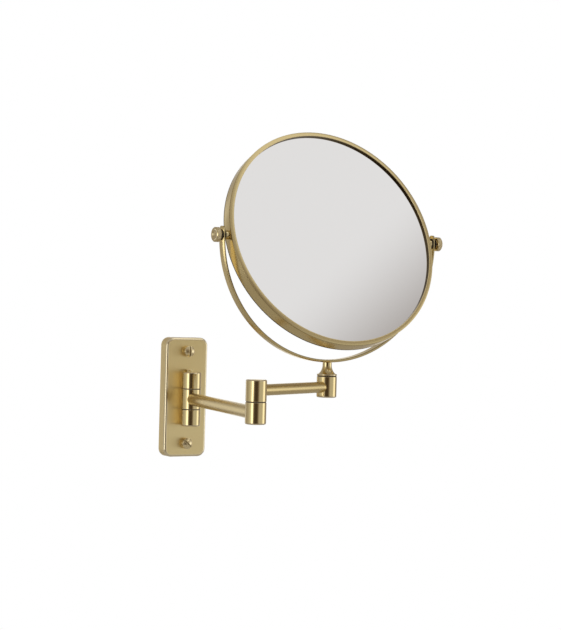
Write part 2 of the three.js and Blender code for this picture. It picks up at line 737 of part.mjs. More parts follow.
// Lip over the glass, rim over the band's grooved end, and a skirt inside the band.
function bezel() {
  const lipEdge = HEAD_RADIUS - BEZEL_WIDTH;
  const profile = [
    at(lipEdge, GLASS_FACE + FIT_GAP),
    at(SKIRT_INNER_RADIUS, GLASS_FACE + FIT_GAP),
    at(SKIRT_INNER_RADIUS, HEAD_FACE - BEZEL_SKIRT_DEPTH),
    at(SKIRT_OUTER_RADIUS, HEAD_FACE - BEZEL_SKIRT_DEPTH),
    at(SKIRT_OUTER_RADIUS, BAND_END + FIT_GAP),
    at(HEAD_RADIUS, BAND_END + FIT_GAP),
    at(HEAD_RADIUS, HEAD_FACE - BEZEL_ROUND),
    at(HEAD_RADIUS - BEZEL_ROUND, HEAD_FACE),
    at(lipEdge, HEAD_FACE),
  ];
  return turned(profile, RIM_ROUND);
}

function plainGlass() {
  return ring(0, GLASS_RADIUS, GLASS_BACK, GLASS_FACE, 0, RIM_ROUND);
}

// Depth of the magnifying glass's hollow at a radius: a shallow bowl, level at the rim.
function hollowAt(radius) {
  return MAGNIFIER_SAG * (1 - (radius / GLASS_RADIUS) ** 2);
}

function magnifyingGlass() {
  const steps = 3;
  const outer = [];
  const inner = [];
  for (let i = 0; i <= steps; i += 1) {
    const radius = (GLASS_RADIUS * i) / steps;
    outer.push(at(radius, -GLASS_FACE + hollowAt(radius)));
    inner.unshift(at(radius, -GLASS_FACE + MAGNIFIER_THICKNESS + hollowAt(radius)));
  }
  return turned([...outer, ...inner], RIM_ROUND);
}

// Board ring that keeps the two glasses apart at their edges.
function spacer() {
  const innerRadius = GLASS_RADIUS - SPACER_WIDTH;
  const seat = -GLASS_FACE + MAGNIFIER_THICKNESS + FIT_GAP;
  const profile = [
    at(innerRadius, seat + hollowAt(innerRadius)),
    at(GLASS_RADIUS, seat),
    at(GLASS_RADIUS, GLASS_BACK - FIT_GAP),
    at(innerRadius, GLASS_BACK - FIT_GAP),
  ];
  return turned(profile, RIM_ROUND);
}

// Shouldered boss in the band's wall, tapped for the thumb screw. Side 1 is the right one.
function pivotBoss(side) {
  const collarStart = HEAD_RADIUS + FIT_GAP;
  const collarEnd = BOW_INNER_RADIUS - BOSS_WASHER - 2 * SEAM_CLEARANCE;
  const inner = STUD_RADIUS + RUNNING_GAP;
  const start = BAND_INNER_RADIUS + FIT_GAP;
  const profile = [
    at(inner, start),
    at(BOSS_SHANK_RADIUS, start),
    at(BOSS_SHANK_RADIUS, collarStart),
    at(BOSS_RADIUS, collarStart),
    at(BOSS_RADIUS, collarEnd),
    at(inner, collarEnd),
  ];
  return sideways(turned(profile, PIN_ROUND), side);
}

function sideways(geometry, side) {
  toTheRight(geometry);
  if (side < 0) {
    geometry.rotateZ(Math.PI);
  }
  return solid(geometry);
}

function bossWasher(side) {
  const start = BOW_INNER_RADIUS - BOSS_WASHER - SEAM_CLEARANCE;
  const washer = ring(
    STUD_RADIUS + RUNNING_GAP,
    THUMB_WASHER_RADIUS,
    start,
    start + BOSS_WASHER,
    0,
    PIN_ROUND,
  );
  return sideways(washer, side);
}

function thumbWasher(side) {
  const start = BOW_OUTER_RADIUS + SEAM_CLEARANCE;
  const washer = ring(
    STUD_RADIUS + RUNNING_GAP,
    THUMB_WASHER_RADIUS,
    start,
    start + THUMB_WASHER,
    0,
    PIN_ROUND,
  );
  return sideways(washer, side);
}

// Thumb screw: a knurled head with a countersunk end, a short neck and a stud.
function thumbScrew(side) {
  const neckStart = BOW_OUTER_RADIUS + THUMB_WASHER + 2 * SEAM_CLEARANCE;
  const headStart = neckStart + KNOB_NECK_LENGTH;
  const headEnd = headStart + KNOB_LENGTH;
  const knurl = new THREE.Shape();
  for (let i = 0; i < 2 * KNURL_COUNT; i += 1) {
    const angle = (i * Math.PI) / KNURL_COUNT;
    const radius = KNOB_RADIUS - (i % 2) * KNURL_DEPTH;
    knurl[i ? "lineTo" : "moveTo"](radius * Math.cos(angle), radius * Math.sin(angle));
  }
  const grip = new THREE.ExtrudeGeometry(knurl, { depth: KNOB_LENGTH, bevelEnabled: false });
  const dish = new THREE.Path();
  dish.moveTo(0, headStart);
  dish.lineTo(KNOB_RADIUS - KNOB_CHAMFER, headStart);
  dish.lineTo(KNOB_RADIUS, headStart + KNOB_CHAMFER);
  dish.lineTo(KNOB_RADIUS, headEnd - KNOB_CHAMFER);
  dish.lineTo(KNOB_RADIUS - KNOB_CHAMFER, headEnd);
  dish.lineTo(DISH_RADIUS, headEnd);
  dish.lineTo(0, headEnd - DISH_DEPTH);
  const blank = solid(turned(dish.getPoints(2), 2 * KNURL_COUNT)).intersect(
    solid(grip.translate(0, 0, headStart)),
  );
  const neck = ring(0, KNOB_NECK_RADIUS, neckStart, headStart + KNOB_LENGTH / 4);
  const studStart = BAND_INNER_RADIUS + STUD_CLEARANCE;
  const stud = ring(0, STUD_RADIUS, studStart, neckStart + KNOB_NECK_LENGTH, 0, PIN_ROUND);
  const screw = joined(blank, solid(neck), solid(stud)).rotate([0, 90, 0]);
  return side < 0 ? screw.rotate([0, 0, 180]) : screw;
}

// ---- Assembly -------------------------------------------------------------------------------

const mirror = new THREE.Group();

const wall = addGroup(mirror, 0, 0, 0);
addPart(wall, "wall_plate", "satinBrass", wallPlate());
addPart(wall, "hinge_bracket", "satinBrass", hingeBracket());
for (const [name, side, slotTurn] of [
  ["upper", 1, UPPER_SLOT_TURN],
  ["lower", -1, LOWER_SLOT_TURN],
]) {
  const screw = wallScrew(slotTurn).translate([0, 0, side * WALL_SCREW_LEVEL]);
  addPart(wall, `wall_screw_${name}`, "satinBrass", screw);
  addPart(wall, `bracket_screw_${name}`, "steel", hingeScrew(side));
}
const hinge = addGroup(wall, 0, -HINGE_REACH, 0);
addPart(hinge, "hinge_pin", "steel", headedPin(HINGE_BOTTOM, HINGE_TOP - BLIND_END - FIT_GAP));
addPart(hinge, "hinge_washer_upper", "nylon", seamWasher(INNER_TOP));
addPart(hinge, "hinge_washer_lower", "nylon", seamWasher(INNER_BOTTOM - SEAM));

const innerArm = addGroup(wall, 0, -HINGE_REACH, 0);
innerArm.rotation.z = HINGE_TURN;
addPart(innerArm, "middle_knuckle", "satinBrass", middleKnuckle());
addPart(innerArm, "hinge_bush", "bronze", bush(INNER_BOTTOM, INNER_TOP));
addPart(
  innerArm,
  "inner_arm_tube",
  "satinBrass",
  armTube(INNER_TUBE_RADIUS, INNER_LEVEL, INNER_ARM_LENGTH),
);
const elbowFoot = addGroup(innerArm, INNER_ARM_LENGTH, 0, 0);
const elbowFloor = OUTER_BOTTOM + ELBOW_BUSH_HEIGHT;
addPart(elbowFoot, "elbow_lower_barrel", "satinBrass", elbowLowerBarrel());
addPart(elbowFoot, "elbow_pin", "steel", headedPin(INNER_BOTTOM, elbowFloor + PIN_PAST_SEAT));
addPart(elbowFoot, "elbow_washer", "nylon", seamWasher(INNER_TOP));
addPart(elbowFoot, "elbow_spring_washer", "steel", springWasher(elbowFloor, 1));
addPart(elbowFoot, "elbow_nut", "steel", nut(elbowFloor, 1));

const outerArm = addGroup(innerArm, INNER_ARM_LENGTH, 0, 0);
outerArm.rotation.z = ELBOW_TURN;
addPart(outerArm, "elbow_upper_barrel", "satinBrass", elbowUpperBarrel());
addPart(outerArm, "elbow_bush", "bronze", bush(OUTER_BOTTOM, elbowFloor));
addPart(outerArm, "elbow_cap", "satinBrass", elbowCap());
addPart(
  outerArm,
  "outer_arm_tube",
  "satinBrass",
  armTube(OUTER_TUBE_RADIUS, OUTER_LEVEL, OUTER_ARM_LENGTH),
);
const postEnd = addGroup(outerArm, OUTER_ARM_LENGTH, 0, 0);
const postRoof = OUTER_BOTTOM + POST_RECESS_DEPTH;
addPart(postEnd, "post_barrel", "satinBrass", postBarrel());
addPart(postEnd, "post_bush", "bronze", bush(postRoof, OUTER_TOP));

const bowGroup = addGroup(outerArm, OUTER_ARM_LENGTH, 0, 0);
bowGroup.rotation.z = POST_TURN;
addPart(bowGroup, "post_washer", "nylon", seamWasher(OUTER_TOP));
addPart(bowGroup, "swivel_neck", "satinBrass", swivelNeck());
addPart(bowGroup, "post_spring_washer", "steel", springWasher(postRoof, -1));
addPart(bowGroup, "post_nut", "steel", nut(postRoof, -1));
const bowFrame = addGroup(bowGroup, 0, 0, TILT_LEVEL);
addPart(bowFrame, "bow", "satinBrass", bow());
addPart(bowFrame, "bow_screw", "satinBrass", bowScrew());

const head = addGroup(bowGroup, 0, 0, TILT_LEVEL);
head.rotation.x = -MIRROR_TILT;
addPart(head, "mirror_band", "satinBrass", band());
addPart(head, "front_bezel", "satinBrass", solid(outOfWall(bezel())));
addPart(head, "rear_bezel", "satinBrass", solid(outOfWall(bezel().rotateX(Math.PI))));
addPart(head, "front_glass", "mirrorGlass", solid(outOfWall(plainGlass())));
addPart(head, "rear_glass", "mirrorGlass", solid(outOfWall(magnifyingGlass())));
addPart(head, "glass_spacer", "spacerBoard", solid(outOfWall(spacer())));
for (const [name, side] of [
  ["left", -1],
  ["right", 1],
]) {
  addPart(bowFrame, `${name}_boss_washer`, "nylon", bossWasher(side));
  addPart(bowFrame, `${name}_thumb_washer`, "nylon", thumbWasher(side));
  addPart(head, `${name}_pivot_boss`, "satinBrass", pivotBoss(side));
  addPart(head, `${name}_thumb_screw`, "satinBrass", thumbScrew(side));
}

export default mirror;
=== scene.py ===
"""Pivot wall mirror in satin brass: turned barrels, drawn tubes, a knurled thumb screw each side,
and a silvered glass in a lacquered band, in the light of a plain pale studio."""

import json
import math

import bpy
import numpy as np
from bpy.props import FloatProperty, FloatVectorProperty, IntProperty, PointerProperty
from bpy.types import Operator, Panel, PropertyGroup
from mathutils import Matrix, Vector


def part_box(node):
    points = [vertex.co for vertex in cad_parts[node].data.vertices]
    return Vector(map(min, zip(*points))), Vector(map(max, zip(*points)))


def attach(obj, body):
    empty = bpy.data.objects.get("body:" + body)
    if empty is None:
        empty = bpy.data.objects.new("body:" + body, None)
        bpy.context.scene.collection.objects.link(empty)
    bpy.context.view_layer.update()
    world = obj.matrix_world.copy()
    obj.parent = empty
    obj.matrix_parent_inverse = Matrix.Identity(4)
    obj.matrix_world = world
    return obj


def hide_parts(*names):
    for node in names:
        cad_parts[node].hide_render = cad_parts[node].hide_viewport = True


bl_info = {
    "name": "Pivot wall mirror",
    "version": (1, 0, 0),
    "blender": (4, 5, 0),
    "location": "View3D > Sidebar > Wall mirror",
    "description": "Builds the finished surface of a swing-arm wall mirror over its frame",
    "category": "Add Mesh",
}

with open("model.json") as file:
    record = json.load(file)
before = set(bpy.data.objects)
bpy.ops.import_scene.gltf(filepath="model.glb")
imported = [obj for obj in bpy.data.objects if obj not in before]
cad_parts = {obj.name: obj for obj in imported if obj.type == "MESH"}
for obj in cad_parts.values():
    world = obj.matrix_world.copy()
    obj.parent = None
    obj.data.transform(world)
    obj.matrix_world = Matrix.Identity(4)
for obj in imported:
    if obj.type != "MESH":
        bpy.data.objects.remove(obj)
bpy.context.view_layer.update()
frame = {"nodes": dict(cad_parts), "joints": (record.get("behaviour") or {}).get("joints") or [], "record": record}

PHOTO_WIDTH = 561
PHOTO_HEIGHT = 630


# ---- Sizes that several pieces share, in metres ----------------------------------------------

MM = 0.001
GAP = 0.05 * MM  # between two pieces that seat on each other
FINE, SMALL, SOFT = 0.1 * MM, 0.2 * MM, 0.3 * MM  # roundings of edges
BUSH_BORE = 4.08 * MM  # radius of the hole for a bush
PIN_RADIUS = 3.0 * MM
PIN_HEAD_RADIUS = 5.0 * MM
PIN_HEAD_HEIGHT = 2.5 * MM
PIN_HEAD_CROWN = 0.15 * MM
PIN_SLOT = (1.2 * MM, 1.2 * MM)  # width and depth
HEAD_POCKET = 5.2 * MM  # radius of the pocket round a pin's head
HEAD_POCKET_DEPTH = 3.2 * MM
POCKET_EDGE = SMALL
BOW_THICKNESS = 2.4 * MM

# Points round a turned piece, by how large it shows
BARREL_TURNS = 160
TUBE_TURNS = 128
WASHER_TURNS = 96
BOSS_TURNS = 72
HOLE_TURNS = 64
PIN_TURNS = 48
SHANK_TURNS = 40


# ---- Places and sizes read from the frame ----------------------------------------------------

JOINTS = {joint["name"]: joint for joint in frame["joints"]}
SLOTS = {part["node"]: part["material_slot"] for part in frame["record"]["subparts"]}


def joint_place(name):
    """Where a joint's axis is, in metres, as an array."""
    return np.array(JOINTS[name]["pos_m"], float)


def low(node):
    """Lowest corner of a node's box, in metres."""
    return np.array(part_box(node)[0])


def high(node):
    """Highest corner of a node's box, in metres."""
    return np.array(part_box(node)[1])


def middle(node):
    """Centre of a node's box, in metres."""
    return (low(node) + high(node)) / 2


def extent(node):
    """Size of a node's box along X, Y and Z, in metres."""
    return high(node) - low(node)


def span(node):
    """Lowest and highest level of a node, in metres."""
    return low(node)[2], high(node)[2]


HINGE = joint_place("wall_hinge") * (1, 1, 0)
ELBOW = joint_place("elbow") * (1, 1, 0)
POST = joint_place("post_swivel") * (1, 1, 0)
TILT = joint_place("mirror_tilt")
BARREL_RADIUS = extent("post_barrel")[1] / 2
HEAD_RADIUS = extent("mirror_band")[0] / 2
BOW_OUTER_RADIUS = extent("bow")[0] / 2
PLATE_FACE = -low("wall_plate")[1]


# ---- Local frames ----------------------------------------------------------------------------


def stand(origin, z_axis, x_axis=(1, 0, 0)):
    """Local frame as (origin, rows x, y, z). The rows are unit vectors, and y is z cross x."""
    z = np.array(z_axis, float)
    z /= np.linalg.norm(z)
    x = np.array(x_axis, float)
    x -= z * (x @ z)
    x /= np.linalg.norm(x)
    return np.array(origin, float), np.array([x, np.cross(z, x), z])


def upright(origin):
    """Local frame whose axis points up."""
    return stand(origin, (0, 0, 1))


def out_of_wall(origin):
    """Local frame whose axis points out of the wall, its second direction up."""
    return stand(origin, (0, -1, 0))


def sideways(origin, side):
    """Local frame whose axis points to the right (side 1) or the left (side -1)."""
    return stand(origin, (side, 0, 0), (0, 0, 1))


def along(origin, turn):
    """Local frame whose axis lies level, at that angle from +X."""
    return stand(origin, (math.cos(turn), math.sin(turn), 0), (0, 0, 1))


def placed(points, where):
    """Local points, as an array of any shape ending in 3, in the frame of the whole object."""
    origin, rows = where
    return origin + points @ rows


# ---- Surfaces as arrays ----------------------------------------------------------------------

STRAIGHT = 0.49 * math.pi  # half the angle of a corner that is as good as straight
HOLD = 0.35  # from an arc to the point that holds the flat beside it, as a share of its reach
HEAD_MARK, SLOT_SHADE_MARK = 0.5, -0.6  # edge marks: the screw's head painted paler, wear and painted highlight; its slot darkened with painted shade


class Surface:
    """Grid of points, row after row, as quads: each row is a loop, and the last row joins the first
    where it is wrapped. Each point has its place along and across the grain, and its edge mark."""

    def __init__(self, points, grain, rub_and_shade, wrapped=False):
        rows, columns = points.shape[:2]
        i = np.arange(rows if wrapped else rows - 1)[:, None]
        j = np.arange(columns)[None, :]
        row, next_row = i * columns, (i + 1) % rows * columns
        beside = (j + 1) % columns
        quads = np.broadcast_arrays(row + j, next_row + j, next_row + beside, row + beside)
        self.faces = np.stack(quads, axis=-1).reshape(-1, 4)
        self.points = points.reshape(-1, 3)
        self.grain = grain.reshape(-1, 3).copy()
        self.rub_and_shade = np.broadcast_to(rub_and_shade, (rows, columns)).ravel()


def rounded(corners, closed=True, steps=4):
    """Polyline through corners (x, y, radius, mark), each corner of some radius drawn as an arc.

    An arc's centre lies on the corner's bisector, at radius / sin(half the angle), and its points
    are weighted between the two touching points by sin((1 - t) w) and sin(t w), w being the arc's
    angle. A point close to each end of an arc keeps the flats beside it flat. Returns the points
    and their marks: 1 where hands wear the edge, which is also painted paler as a painted
    highlight, and -1 where painted shade darkens it. The mark may be left
    out, and is then 1 on an arc and 0 at a plain corner."""
    places = np.array([corner[:2] for corner in corners], float)
    line, rub = [], []

    def add(point, mark):
        line.append(tuple(point))
        rub.append(mark)

    for i, (x, y, radius, *mark) in enumerate(corners):
        half = math.pi / 2
        if radius > 0 and (closed or 0 < i < len(corners) - 1):
            back = places[i - 1] - places[i]
            ahead = places[(i + 1) % len(places)] - places[i]
            back_length, ahead_length = np.linalg.norm(back), np.linalg.norm(ahead)
            back, ahead = back / back_length, ahead / ahead_length
            half = math.acos(max(-1.0, min(1.0, back @ ahead))) / 2
        if half > STRAIGHT:
            add((x, y), mark[0] if mark else 0.0)
            continue
        reach = radius / math.tan(half)
        bisector = (back + ahead) / np.linalg.norm(back + ahead)
        centre = places[i] + bisector * radius / math.sin(half)
        start, end = places[i] + back * reach, places[i] + ahead * reach
        width = math.pi - 2 * half
        hold = HOLD * reach
        if reach + hold < back_length / 2:
            add(start + back * hold, 0.0)
        for t in np.linspace(0, 1, steps + 1):
            first, last = math.sin((1 - t) * width), math.sin(t * width)
            mix = first * (start - centre) + last * (end - centre)
            add(centre + mix / math.sin(width), mark[0] if mark else 1.0)
        if reach + hold < ahead_length / 2:
            add(end + ahead * hold, 0.0)
    return np.array(line), np.array(rub)


def lengths(line):
    """Distance along a polyline to each of its points."""
    steps = np.linalg.norm(np.diff(line, axis=0), axis=1)
    return np.concatenate([[0.0], np.cumsum(steps)])


def lathe(profile, where, turns=TUBE_TURNS, relief=None):
    """Surface of revolution: (r, h) goes to (r cos a, r sin a, h) for a from 0 to a full turn.

    The profile is a (points, marks) pair from rounded. It runs from axis to axis, or closes on
    itself. relief(a, h, r) gives how far each point moves in towards the axis. The grain goes
    round."""
    line, rub = profile
    angle = np.linspace(0, 2 * math.pi, turns, endpoint=False)[None, :]
    radius = np.repeat(line[:, :1], turns, axis=1)
    height = np.repeat(line[:, 1:], turns, axis=1)
    if relief is not None:
        radius = radius - relief(angle, height, radius)
    points = np.stack([radius * np.cos(angle), radius * np.sin(angle), height], axis=-1)
    reach = line[:, 0].max()
    girth = reach * np.cos(angle), reach * np.sin(angle), lengths(line)[:, None]
    grain = np.stack(np.broadcast_arrays(*girth), axis=-1)
    return Surface(placed(points, where), grain, rub[:, None], wrapped=line[0, 0] > 0)


def rod(radius, start, end, where, turns, foot=0.0, tip=0.0):
    """Solid round bar from one level to another, its two ends' edges rounded by foot and tip."""
    corners = [(0, start, 0), (radius, start, foot), (radius, end, tip), (0, end, 0)]
    return lathe(rounded(corners, closed=False), where, turns)


def sleeve(bore, radius, start, end, where, turns, edge=FINE):
    """Round ring from one level to another, its outer edges rounded."""
    corners = [(bore, start, 0), (radius, start, edge), (radius, end, edge), (bore, end, 0)]
    return lathe(rounded(corners), where, turns)


def frame_loop(width, height, radius, inset, steps):
    """Rounded rectangle, each side moved in by inset: a loop of 4 (steps + 1) points.

    Each corner is (cx + r cos a, cy + r sin a) over a quarter turn. The corner's radius shrinks
    with the inset, and the centres move in once it has gone, so a full inset leaves a straight
    line."""
    inset = np.asarray(inset, float)[..., None]
    quarter = np.linspace(0, math.pi / 2, steps + 1)
    angle = np.concatenate([quarter + k * math.pi / 2 for k in range(4)])
    right = np.repeat([1, -1, -1, 1], steps + 1)
    top = np.repeat([1, 1, -1, -1], steps + 1)
    bend = np.maximum(radius - inset, 0)
    x = right * np.maximum(width / 2 - inset - bend, 0) + bend * np.cos(angle)
    y = top * np.maximum(height / 2 - inset - bend, 0) + bend * np.sin(angle)
    return np.stack([x, y], axis=-1)


def framed(width, height, radius, profile, where, steps):
    """Body whose outline is a rounded rectangle at every level.

    The profile's points are (inset, level), from one full inset to another."""
    line, rub = profile
    loops = frame_loop(width, height, radius, line[:, 0], steps)
    level = np.broadcast_to(line[:, 1][:, None, None], loops.shape[:2] + (1,))
    points = np.concatenate([loops, level], axis=-1)
    return Surface(placed(points, where), points, rub[:, None])


def block(size, radius, where):
    """Box with rounded edges: a rounded rectangle carried from one rounded end to the other."""
    width, depth, height = size
    full = min(width, depth) / 2
    corners = [(full, 0, 0), (0, 0, radius), (0, height, radius), (full, height, 0)]
    return framed(width, depth, 2 * radius, rounded(corners, closed=False), where, steps=4)


def slotted_head(radius, height, crown, slot, where, turn=0.0, seat=1.0, seat_rise=0.0):
    """Round head with a straight slot across it.

    The lines of the grid lie along the slot, at x. On each, y = b sqrt(R^2 - x^2) for b from -1
    to 1, and the top is height - crown (r / R)^2, or the slot's floor between the slot's two sides.
    Each line goes on down the head's side and closes across its foot, whose radius is seat times R.
    The line beside the slot stands a little away from it, and keeps its edge sharp."""
    slot_half, slot_depth = slot[0] / 2, slot[1]
    left = radius * np.sin(np.linspace(-math.pi / 2, 0, 14))[:-1]
    left = np.append(left[left < -slot_half * 1.2], -slot_half * 1.02)
    bed = np.array([-1, -0.8, 0, 0.8, 1]) * slot_half
    lines = np.concatenate([left, [-slot_half], bed, [slot_half], -left[::-1]])
    sunk_and_shaded = np.zeros(len(lines), bool)
    sunk_and_shaded[len(left) + 1 : -len(left) - 1] = True
    b = np.sin(np.linspace(-math.pi / 2, math.pi / 2, 48))
    half = np.sqrt(np.maximum(radius**2 - lines**2, 0))[:, None]
    y = half * b[None, :]
    x = np.broadcast_to(lines[:, None], y.shape)
    top = height - crown * (x**2 + y**2) / radius**2
    top = np.where(sunk_and_shaded[:, None], np.minimum(top, height - slot_depth), top)
    rise = np.full((len(lines), 1), seat_rise)
    foot = np.zeros((len(lines), 1))
    xs = np.concatenate([x[:, :1] * seat, x[:, :1], x, x[:, -1:], x[:, -1:] * seat], axis=1)
    ys = np.concatenate([-half * seat, -half, y, half, half * seat], axis=1)
    zs = np.concatenate([foot, rise, top, rise, foot], axis=1)
    c, s = math.cos(turn), math.sin(turn)
    points = np.stack([c * xs - s * ys, s * xs + c * ys, zs], axis=-1)
    # the head painted paler, wear and painted highlight; the slot darkened with painted shade
    return Surface(placed(points, where), points, np.where(sunk_and_shaded, SLOT_SHADE_MARK, HEAD_MARK)[:, None])


def turn_grain(surface, where):
    """Turns the grain of a straight tube: drawn out along it, and close round its girth."""
    origin, rows = where
    local = (surface.points - origin) @ rows.T
    angle = np.arctan2(local[:, 1], local[:, 0])
    girth = np.abs(angle) * np.hypot(local[:, 0], local[:, 1]).max()
    surface.grain[:] = np.stack([local[:, 2], np.zeros(len(local)), girth], axis=-1)


def welded(surface):
    """The surface with doubled points made one, so that poles and seams are closed."""
    keys = np.round(surface.points / 1e-7).astype(np.int64)
    _, first, inverse = np.unique(keys, axis=0, return_index=True, return_inverse=True)
    faces = inverse.reshape(-1)[surface.faces]
    same = faces == np.roll(faces, -1, axis=1)
    quads = faces[~same.any(axis=1)]
    thin = faces[same.sum(axis=1) == 1]
    drop = np.argmax(thin == np.roll(thin, -1, axis=1), axis=1)
    keep = (drop[:, None] + np.arange(1, 4)[None, :]) % 4
    triangles = np.take_along_axis(thin, keep, axis=1)
    triangles = triangles[(triangles != np.roll(triangles, -1, axis=1)).all(axis=1)]
    return surface.points[first], quads, triangles, surface.grain[first], surface.rub_and_shade[first]


def volume(points, quads, triangles):
    """Signed volume: the sum of a . (b x c) / 6 over all triangles."""
    halves = np.concatenate([quads[:, [0, 1, 2]], quads[:, [0, 2, 3]], triangles])
    a, b, c = (points[halves[:, k]] for k in range(3))
    return np.einsum("ij,ij->i", a, np.cross(b, c)).sum() / 6


def make_piece(name, surfaces, material, body, node, crease=32):
    """Joins closed surfaces in one mesh, faces outwards, which rides on its body and stands for its
    node. Edges sharper than crease, in degrees, stay sharp."""
    points, loops, totals, grain, rub_and_shade = [], [], [], [], []
    start = 0
    for surface in surfaces:
        co, quads, triangles, along_grain, edge = welded(surface)
        if volume(co - co.mean(axis=0), quads, triangles) < 0:
            quads, triangles = quads[:, ::-1], triangles[:, ::-1]
        points.append(co)
        grain.append(along_grain)
        rub_and_shade.append(edge)
        loops += [(quads + start).ravel(), (triangles + start).ravel()]
        totals += [np.full(len(quads), 4), np.full(len(triangles), 3)]
        start += len(co)
    co, loop, total = np.concatenate(points), np.concatenate(loops), np.concatenate(totals)
    mesh = bpy.data.meshes.new(name)
    mesh.vertices.add(len(co))
    mesh.vertices.foreach_set("co", co.astype(np.float32).ravel())
    mesh.loops.add(len(loop))
    mesh.loops.foreach_set("vertex_index", loop.astype(np.int32))
    mesh.polygons.add(len(total))
    starts = np.concatenate([[0], np.cumsum(total)[:-1]]).astype(np.int32)
    mesh.polygons.foreach_set("loop_start", starts)
    mesh.update(calc_edges=True)
    mesh.validate()
    mesh.polygons.foreach_set("use_smooth", np.ones(len(mesh.polygons), bool))
    mesh.set_sharp_from_angle(angle=math.radians(crease))
    layer = mesh.attributes.new("grain", "FLOAT_VECTOR", "POINT")
    layer.data.foreach_set("vector", np.concatenate(grain).astype(np.float32).ravel())
    # edge marks: above 0 for worn edges painted paler with a painted highlight, below 0 for painted shade
    layer = mesh.attributes.new("rub_and_shade", "FLOAT", "POINT")
    layer.data.foreach_set("value", np.concatenate(rub_and_shade).astype(np.float32))
    mesh.materials.append(bpy.data.materials[material])
    piece = bpy.data.objects.new(name, mesh)
    bpy.context.scene.collection.objects.link(piece)
    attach(piece, body)
    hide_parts(node)


# ---- Shader node groups ----------------------------------------------------------------------


def add_node(tree, kind, inputs=None, **settings):
    """Adds a node, sets its fields, and fills its inputs with values or links."""
    node = tree.nodes.new(kind)
    for key, value in settings.items():
        setattr(node, key, value)
    for key, value in (inputs or {}).items():
        if isinstance(value, bpy.types.NodeSocket):
            tree.links.new(value, node.inputs[key])
        else:
            node.inputs[key].default_value = value
    return node


def mapped(tree, value, start, end, least, most):
    """Socket that goes evenly from least to most as the value goes from start to end."""
    return add_node(
        tree, "ShaderNodeMapRange", {0: value, 1: start, 2: end, 3: least, 4: most}
    ).outputs[0]


def calculated(tree, operation, first, second, clamped=False):
    """Socket of one sum on two values."""
    return add_node(
        tree, "ShaderNodeMath", {0: first, 1: second}, operation=operation, use_clamp=clamped
    ).outputs[0]


def blended(tree, factor, first, second):
    """Colour socket between two colours, by a factor socket."""
    return add_node(
        tree, "ShaderNodeMix", {0: factor, 6: first, 7: second}, data_type="RGBA"
    ).outputs[2]


def blended_by_height(tree, height, ends, first, second):
    """Smooth blend of two colours as the height goes from the first end to the second."""
    limits = (0.0, 1.0) if ends[0] < ends[1] else (1.0, 0.0)
    inputs = {0: height, 1: min(ends), 2: max(ends), 3: limits[0], 4: limits[1]}
    share = add_node(tree, "ShaderNodeMapRange", inputs, interpolation_type="SMOOTHSTEP")
    return blended(tree, share.outputs[0], first, second)


def mottled(tree, scale, detail, roughness=0.5):
    """Noise that stands still on the piece, as a value socket."""
    spot = add_node(tree, "ShaderNodeTexCoord").outputs["Object"]
    inputs = {"Vector": spot, "Scale": scale, "Detail": detail, "Roughness": roughness}
    return add_node(tree, "ShaderNodeTexNoise", inputs).outputs["Fac"]


def raise_lines(tree, shader, strength, height):
    """Fine relief of the shader's surface, 0.1 mm at most."""
    inputs = {"Strength": strength, "Distance": 0.0001, "Height": height}
    bump = add_node(tree, "ShaderNodeBump", inputs)
    tree.links.new(bump.outputs["Normal"], shader.inputs["Normal"])


def opaque(colour, gains=(1, 1, 1)):
    """Colour times a gain for each part, with full alpha."""
    return (*(part * gain for part, gain in zip(colour, gains)), 1)


def new_group(name, inputs, outputs):
    """Empty shader group with float inputs (name, default, low, high) and float outputs."""
    group = bpy.data.node_groups.new(name, "ShaderNodeTree")
    for label, value, least, most in inputs:
        socket = group.interface.new_socket(label, in_out="INPUT", socket_type="NodeSocketFloat")
        socket.default_value, socket.min_value, socket.max_value = value, least, most
    for label in outputs:
        group.interface.new_socket(label, in_out="OUTPUT", socket_type="NodeSocketFloat")
    return group, group.nodes.new("NodeGroupInput"), group.nodes.new("NodeGroupOutput")


def brushed_grain_group():
    """Fine lines that follow the piece's own grain: noise drawn out along it, close across it."""
    group, start, end = new_group(
        "Brushed grain",
        [
            ("Along", 60.0, 0.0, 9000.0),
            ("Across", 3000.0, 0.0, 9000.0),
            ("Patchiness", 40.0, 0.0, 900.0),
        ],
        ["Lines", "Patches"],
    )
    place = add_node(group, "ShaderNodeAttribute", attribute_name="grain").outputs["Vector"]
    drawn, close = start.outputs["Along"], start.outputs["Across"]
    scale = add_node(group, "ShaderNodeCombineXYZ", {"X": drawn, "Y": drawn, "Z": close})
    stretched = add_node(
        group, "ShaderNodeVectorMath", {0: place, 1: scale.outputs[0]}, operation="MULTIPLY"
    )
    inputs = {"Vector": stretched.outputs[0], "Scale": 1.0, "Detail": 3.0, "Roughness": 0.6}
    lines = add_node(group, "ShaderNodeTexNoise", inputs).outputs["Fac"]
    group.links.new(lines, end.inputs["Lines"])
    group.links.new(mottled(group, start.outputs["Patchiness"], 4.0, 0.55), end.inputs["Patches"])


